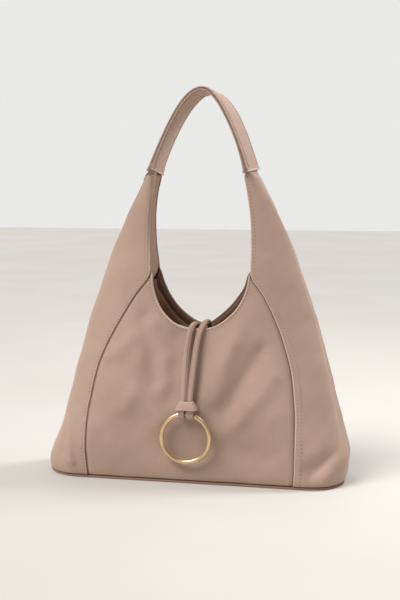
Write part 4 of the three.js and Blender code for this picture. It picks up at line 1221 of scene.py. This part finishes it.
def through(points, per=14):
    """A smooth line through points, as the model's cords have it."""
    p = np.vstack([2 * points[0] - points[1], points, 2 * points[-1] - points[-2]])
    out = []
    for a, b, c, d in zip(p, p[1:], p[2:], p[3:]):
        before, here, after = (np.sqrt(np.linalg.norm(q)) for q in (b - a, c - b, d - c))
        leave = ((b - a) / before - (c - a) / (before + here) + (c - b) / here) * here
        arrive = ((c - b) / here - (d - b) / (here + after) + (d - c) / after) * here
        t = np.linspace(0, 1, per, endpoint=False)[:, None]
        bend = (-3 * b + 3 * c - 2 * leave - arrive) * t**2 + (2 * b - 2 * c + leave + arrive) * t**3
        out.append(b + leave * t + bend)
    return np.vstack(out + [points[-1:]])


CORD_ROW = 1.5
CORD_PINCH = 0.14


def cord_section(sides=36):
    """Half width and height of a flat cord's section at angles round it."""
    angle = np.arange(sides) * 2 * math.pi / sides
    flat = lambda v: np.sign(v) * np.abs(v) ** 0.8
    return flat(np.cos(angle)) * CORD_WIDTH / 2, flat(np.sin(angle)) * CORD_THICKNESS / 2


def cord(name):
    """A tie cord: a flat sewn tube along its route, with a row of stitches beside its inner edge. The keeper
    pinches its end."""
    line = through(np.array([(RING_X + x, -y * RING_Y, MOUTH_HEIGHT + z) for x, y, z in CORD_ROUTES[name]]))
    inner = 1 if name == "tie_cord_left" else -1
    tangent = unit(np.gradient(line, axis=0))
    width = unit(np.array([1.0, 0.0, 0.0]) - tangent * tangent[:, :1])
    up = np.cross(width, tangent)
    run = np.concatenate([[0], np.cumsum(np.linalg.norm(np.diff(line, axis=0), axis=1))])
    pinch = (1 - CORD_PINCH * smooth((run - run[-1] + 24) / 14))[:, None]
    across, rise = cord_section()
    from_edge = CORD_WIDTH / 2 - inner * across
    rise = rise * (1 + 0.16 * groove(from_edge, CORD_ROW, 1, 0.5))
    rings = line[:, None] + width[:, None] * (pinch * across)[..., None] + up[:, None] * rise[:, None]
    # Painted shade in the stitch groove, and a paler outer edge, partly real scuffing and partly painted highlight
    shade = 0.6 * np.exp(-(((from_edge - CORD_ROW) / 0.45) ** 2)) + 0 * rings[..., 0]
    wear = 0.5 * np.exp(-(((from_edge - 0.4) / 0.5) ** 2)) + 0 * shade
    piece = tube_piece(name + "_leather", rings, TIE, "tie_leather", nodes=[name], wear=wear, shade=shade)
    row = line + width * pinch * inner * (CORD_WIDTH / 2 - CORD_ROW) + up * CORD_THICKNESS * 0.43
    sew("tie_stitches", row, up, pitch=2.9, length=1.9, width=0.6)
    return piece, line


def keeper():
    """The leather band that gathers the cords above the ring: narrow above, flared below."""
    top_half = CORD_WIDTH * (1 - CORD_PINCH) + CORD_GAP + KEEPER_WALL
    top_depth = CORD_THICKNESS / 2 + 2 * CORD_GAP + KEEPER_WALL
    height = KEEPER_HEIGHT - 1.6
    share = np.array([0, 0.03, 0.08, 0.18, 0.32, 0.48, 0.64, 0.8, 0.9, 0.96, 1])
    angle = np.arange(72) * 2 * math.pi / 72

    def layer(inset):
        rings = []
        for v in share:
            swell = (0.5 * math.sin(math.pi * v) - 0.35 * (v == 0) - 0.5 * (v == 1)) * (inset == 0)
            half = mix(KEEPER_BOTTOM_WIDTH / 2, top_half, v**1.25) - inset + swell
            deep = mix(KEEPER_HALF_DEPTH, top_depth, v) - inset + swell
            power = 2 / 4.5
            x = half * np.sign(np.cos(angle)) * np.abs(np.cos(angle)) ** power
            y = deep * np.sign(np.sin(angle)) * np.abs(np.sin(angle)) ** power
            sag = -0.5 * (1 - v) * (x / half) ** 2
            z = KEEPER_BOTTOM + v * height + sag
            rings.append(np.stack([RING_X + KEEPER_X + x, RING_Y + y, z], -1))
        return np.stack(rings)

    outer, inner = layer(0), layer(KEEPER_WALL)
    edge = np.minimum(share, 1 - share) * height
    # Paler hems, partly real scuffing and partly painted highlight
    wear = 0.8 * np.exp(-edge / 0.8)[:, None] + np.zeros(outer.shape[:2])
    fields = dict(wear=np.stack([wear, wear]), shade=np.zeros((2,) + wear.shape))
    faces = shell_faces(*outer.shape[:2], closed=True)
    return mesh_piece("keeper_leather", np.stack([outer, inner]), faces, TIE, "tie_leather", nodes=["keeper"], **fields)


def ring_loop(name):
    """A loop of leather round the ring's wire, fuller at its bend."""
    radius, thickness = LOOP_RADIUS - LOOP_SNUG, LOOP_THICKNESS - 0.4
    leg = np.linspace(LOOP_LEG, 0, 8)[:-1]
    bend = math.pi + np.linspace(0, math.pi, 33)
    y = np.concatenate([np.full(len(leg), -1.0), np.cos(bend), np.full(len(leg), 1.0)])
    z = np.concatenate([leg, radius * np.sin(bend), leg[::-1]])
    out_y, out_z = y, np.concatenate([0 * leg, np.sin(bend), 0 * leg])
    full = np.clip(-z / radius, 0, 1)
    sides = 24
    angle = np.arange(sides) * 2 * math.pi / sides
    across = np.sign(np.cos(angle)) * np.abs(np.cos(angle)) ** 0.8
    rings = []
    for k in range(len(y)):
        half = LOOPS[name]["width"] / 2 * (1 + 0.04 * full[k])
        thick = thickness / 2 * np.where(np.sin(angle) > 0, 1 + 0.25 * full[k], 1) * np.sin(angle)
        x = RING_X + LOOPS[name]["x"] + across * half
        rings.append(np.stack([x, RING_Y + y[k] * radius + out_y[k] * thick, RING_TOP + z[k] + out_z[k] * thick], -1))
    rings = np.stack(rings)
    zero = np.zeros(rings.shape[:2])
    return tube_piece(name + "_leather", rings, TIE, "tie_leather", nodes=[name], wear=zero, shade=zero + 0.12)


def ring():
    """The polished ring."""
    turn = np.arange(200) * 2 * math.pi / 200
    angle = np.arange(40) * 2 * math.pi / 40
    radius = RING_RADIUS + WIRE_RADIUS * np.cos(angle)
    x = RING_X + np.cos(turn)[:, None] * radius
    z = RING_TOP - RING_RADIUS + np.sin(turn)[:, None] * radius
    y = RING_Y + WIRE_RADIUS * np.sin(angle)[None] + 0 * x
    points = np.stack([x, y, z], -1)
    faces = grid_faces(200, 40, 0, True)
    last = np.arange(40) + 199 * 40
    turned = (np.arange(40) + 1) % 40
    faces = np.concatenate([faces, np.stack([last, turned + 199 * 40, turned, np.arange(40)], -1)])
    return mesh_piece("ring_metal", points, faces, GOLD, "gold_metal", body="ring", nodes=["ring"])


def tie_tab():
    """The flat tab inside that both cords are sewn to."""
    low, high = (np.array(v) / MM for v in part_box("tie_tab"))
    middle, half = (low + high) / 2, (high - low) / 2
    turn = np.arange(64) * 2 * math.pi / 64
    power = 2 / 7
    x = np.sign(np.cos(turn)) * np.abs(np.cos(turn)) ** power
    z = np.sign(np.sin(turn)) * np.abs(np.sin(turn)) ** power
    layers = [(-1, 0.2), (-1, 0.93), (-0.7, 0.985), (-0.2, 1), (0.2, 1), (0.7, 0.985), (1, 0.93), (1, 0.2)]
    rings = [middle + np.stack([x * half[0] * s, 0 * x + y * half[1], z * half[2] * s], -1) for y, s in layers]
    rings = np.stack(rings)
    zero = np.zeros(rings.shape[:2])
    tube_piece("tie_tab_leather", rings, SHADED_SUEDE, "leather_trim", nodes=["tie_tab"], wear=zero, shade=zero)


# Stage


def floor():
    n = Nodes("floor_paint")
    tone = n.blend(n.range(n.noise(3, 3), 0.3, 0.7), colour(202, 198, 192), colour(207, 204, 199))
    material = n.finish(Base_Color=tone, Roughness=0.75)
    mesh = bpy.data.meshes.new("floor")
    reach = 6.0
    corners = [(-reach, -reach, 0), (reach, -reach, 0), (reach, reach, 0), (-reach, reach, 0)]
    mesh.from_pydata(corners, [], [(0, 1, 2, 3)])
    mesh.materials.append(material)
    piece = bpy.data.objects.new("floor", mesh)
    bpy.context.scene.collection.objects.link(piece)


def camera():
    azimuth, yaw = math.radians(CAMERA_AZIMUTH), math.radians(CAMERA_AZIMUTH + CAMERA_YAW)
    pitch = math.radians(CAMERA_PITCH)
    data = bpy.data.cameras.new("camera")
    data.lens, data.sensor_width = CAMERA_LENS, SENSOR
    eye = bpy.data.objects.new("camera", data)
    eye.location = (CAMERA_DISTANCE * math.sin(azimuth), -CAMERA_DISTANCE * math.cos(azimuth), CAMERA_HEIGHT)
    look = Vector((-math.sin(yaw) * math.cos(pitch), math.cos(yaw) * math.cos(pitch), -math.sin(pitch)))
    eye.rotation_mode = "QUATERNION"
    eye.rotation_quaternion = look.to_track_quat("-Z", "Y")
    bpy.context.scene.collection.objects.link(eye)
    bpy.context.scene.camera = eye


def area_light(name, where, towards, size, power, tint=(1, 1, 1)):
    data = bpy.data.lights.new(name, "AREA")
    data.shape, data.size, data.energy, data.color = "DISK", size, power, tint
    lamp = bpy.data.objects.new(name, data)
    lamp.location = where
    lamp.rotation_mode = "QUATERNION"
    lamp.rotation_quaternion = (Vector(towards) - Vector(where)).to_track_quat("-Z", "Y")
    bpy.context.scene.collection.objects.link(lamp)


def sun_light(name, where, angle, strength, tint):
    data = bpy.data.lights.new(name, "SUN")
    data.angle, data.energy, data.color = math.radians(angle), strength, tint
    lamp = bpy.data.objects.new(name, data)
    lamp.rotation_mode = "QUATERNION"
    lamp.rotation_quaternion = Vector(where).to_track_quat("Z", "Y")
    bpy.context.scene.collection.objects.link(lamp)


WORLD_NEAR = 0.26
WORLD_FAR = 0.88


def light():
    """An even studio, brighter behind the bag, with a soft lamp above on the left and a weak one on the right."""
    world = bpy.data.worlds.new("studio")
    world.use_nodes = True
    nodes, links = world.node_tree.nodes, world.node_tree.links
    background = next(n for n in nodes if n.type == "BACKGROUND")
    background.inputs["Color"].default_value = (0.93, 0.93, 0.92, 1)
    split, span = nodes.new("ShaderNodeSeparateXYZ"), nodes.new("ShaderNodeMapRange")
    links.new(nodes.new("ShaderNodeTexCoord").outputs["Generated"], split.inputs[0])
    for key, value in (("From Min", -0.6), ("From Max", 0.8), ("To Min", WORLD_NEAR), ("To Max", WORLD_FAR)):
        span.inputs[key].default_value = value
    links.new(split.outputs["Y"], span.inputs["Value"])
    links.new(span.outputs["Result"], background.inputs["Strength"])
    bpy.context.scene.world = world
    bpy.context.scene.view_settings.view_transform = "Standard"
    sun_light("key", (-0.68, -0.72, 1.2), 34, 2.7, (1, 0.985, 0.965))
    area_light("top", (0.75, 0.35, 1.2), (0.08, 0, 0.42), 0.4, 10)


camera()
cords = {name: cord(name) for name in CORD_ROUTES}
gather = [keeper(), *[ring_loop(name) for name in LOOPS], ring()]
for name, (piece, line) in cords.items():
    steps = np.linalg.norm(np.diff(line, axis=0), axis=1)
for side in (-1, 1):
    wing(side)
    riser_facing(side)
for face in ("front", "back"):
    centre_panel(face)
    mouth_facing(face)
base_panel()
lining()
for way in (1, -1):
    strap_layer(way)
tie_tab()
stitches_piece("body_stitches", THREAD_PALE, HOLE_SHADE)
stitches_piece("rim_stitches", THREAD_PALE, HOLE_SHADE)
stitches_piece("strap_stitches", THREAD_PALE, HOLE_SHADE)
stitches_piece("tie_stitches", THREAD_DEEP, HOLE_SHADE)
floor()
light()

bpy.context.view_layer.update()
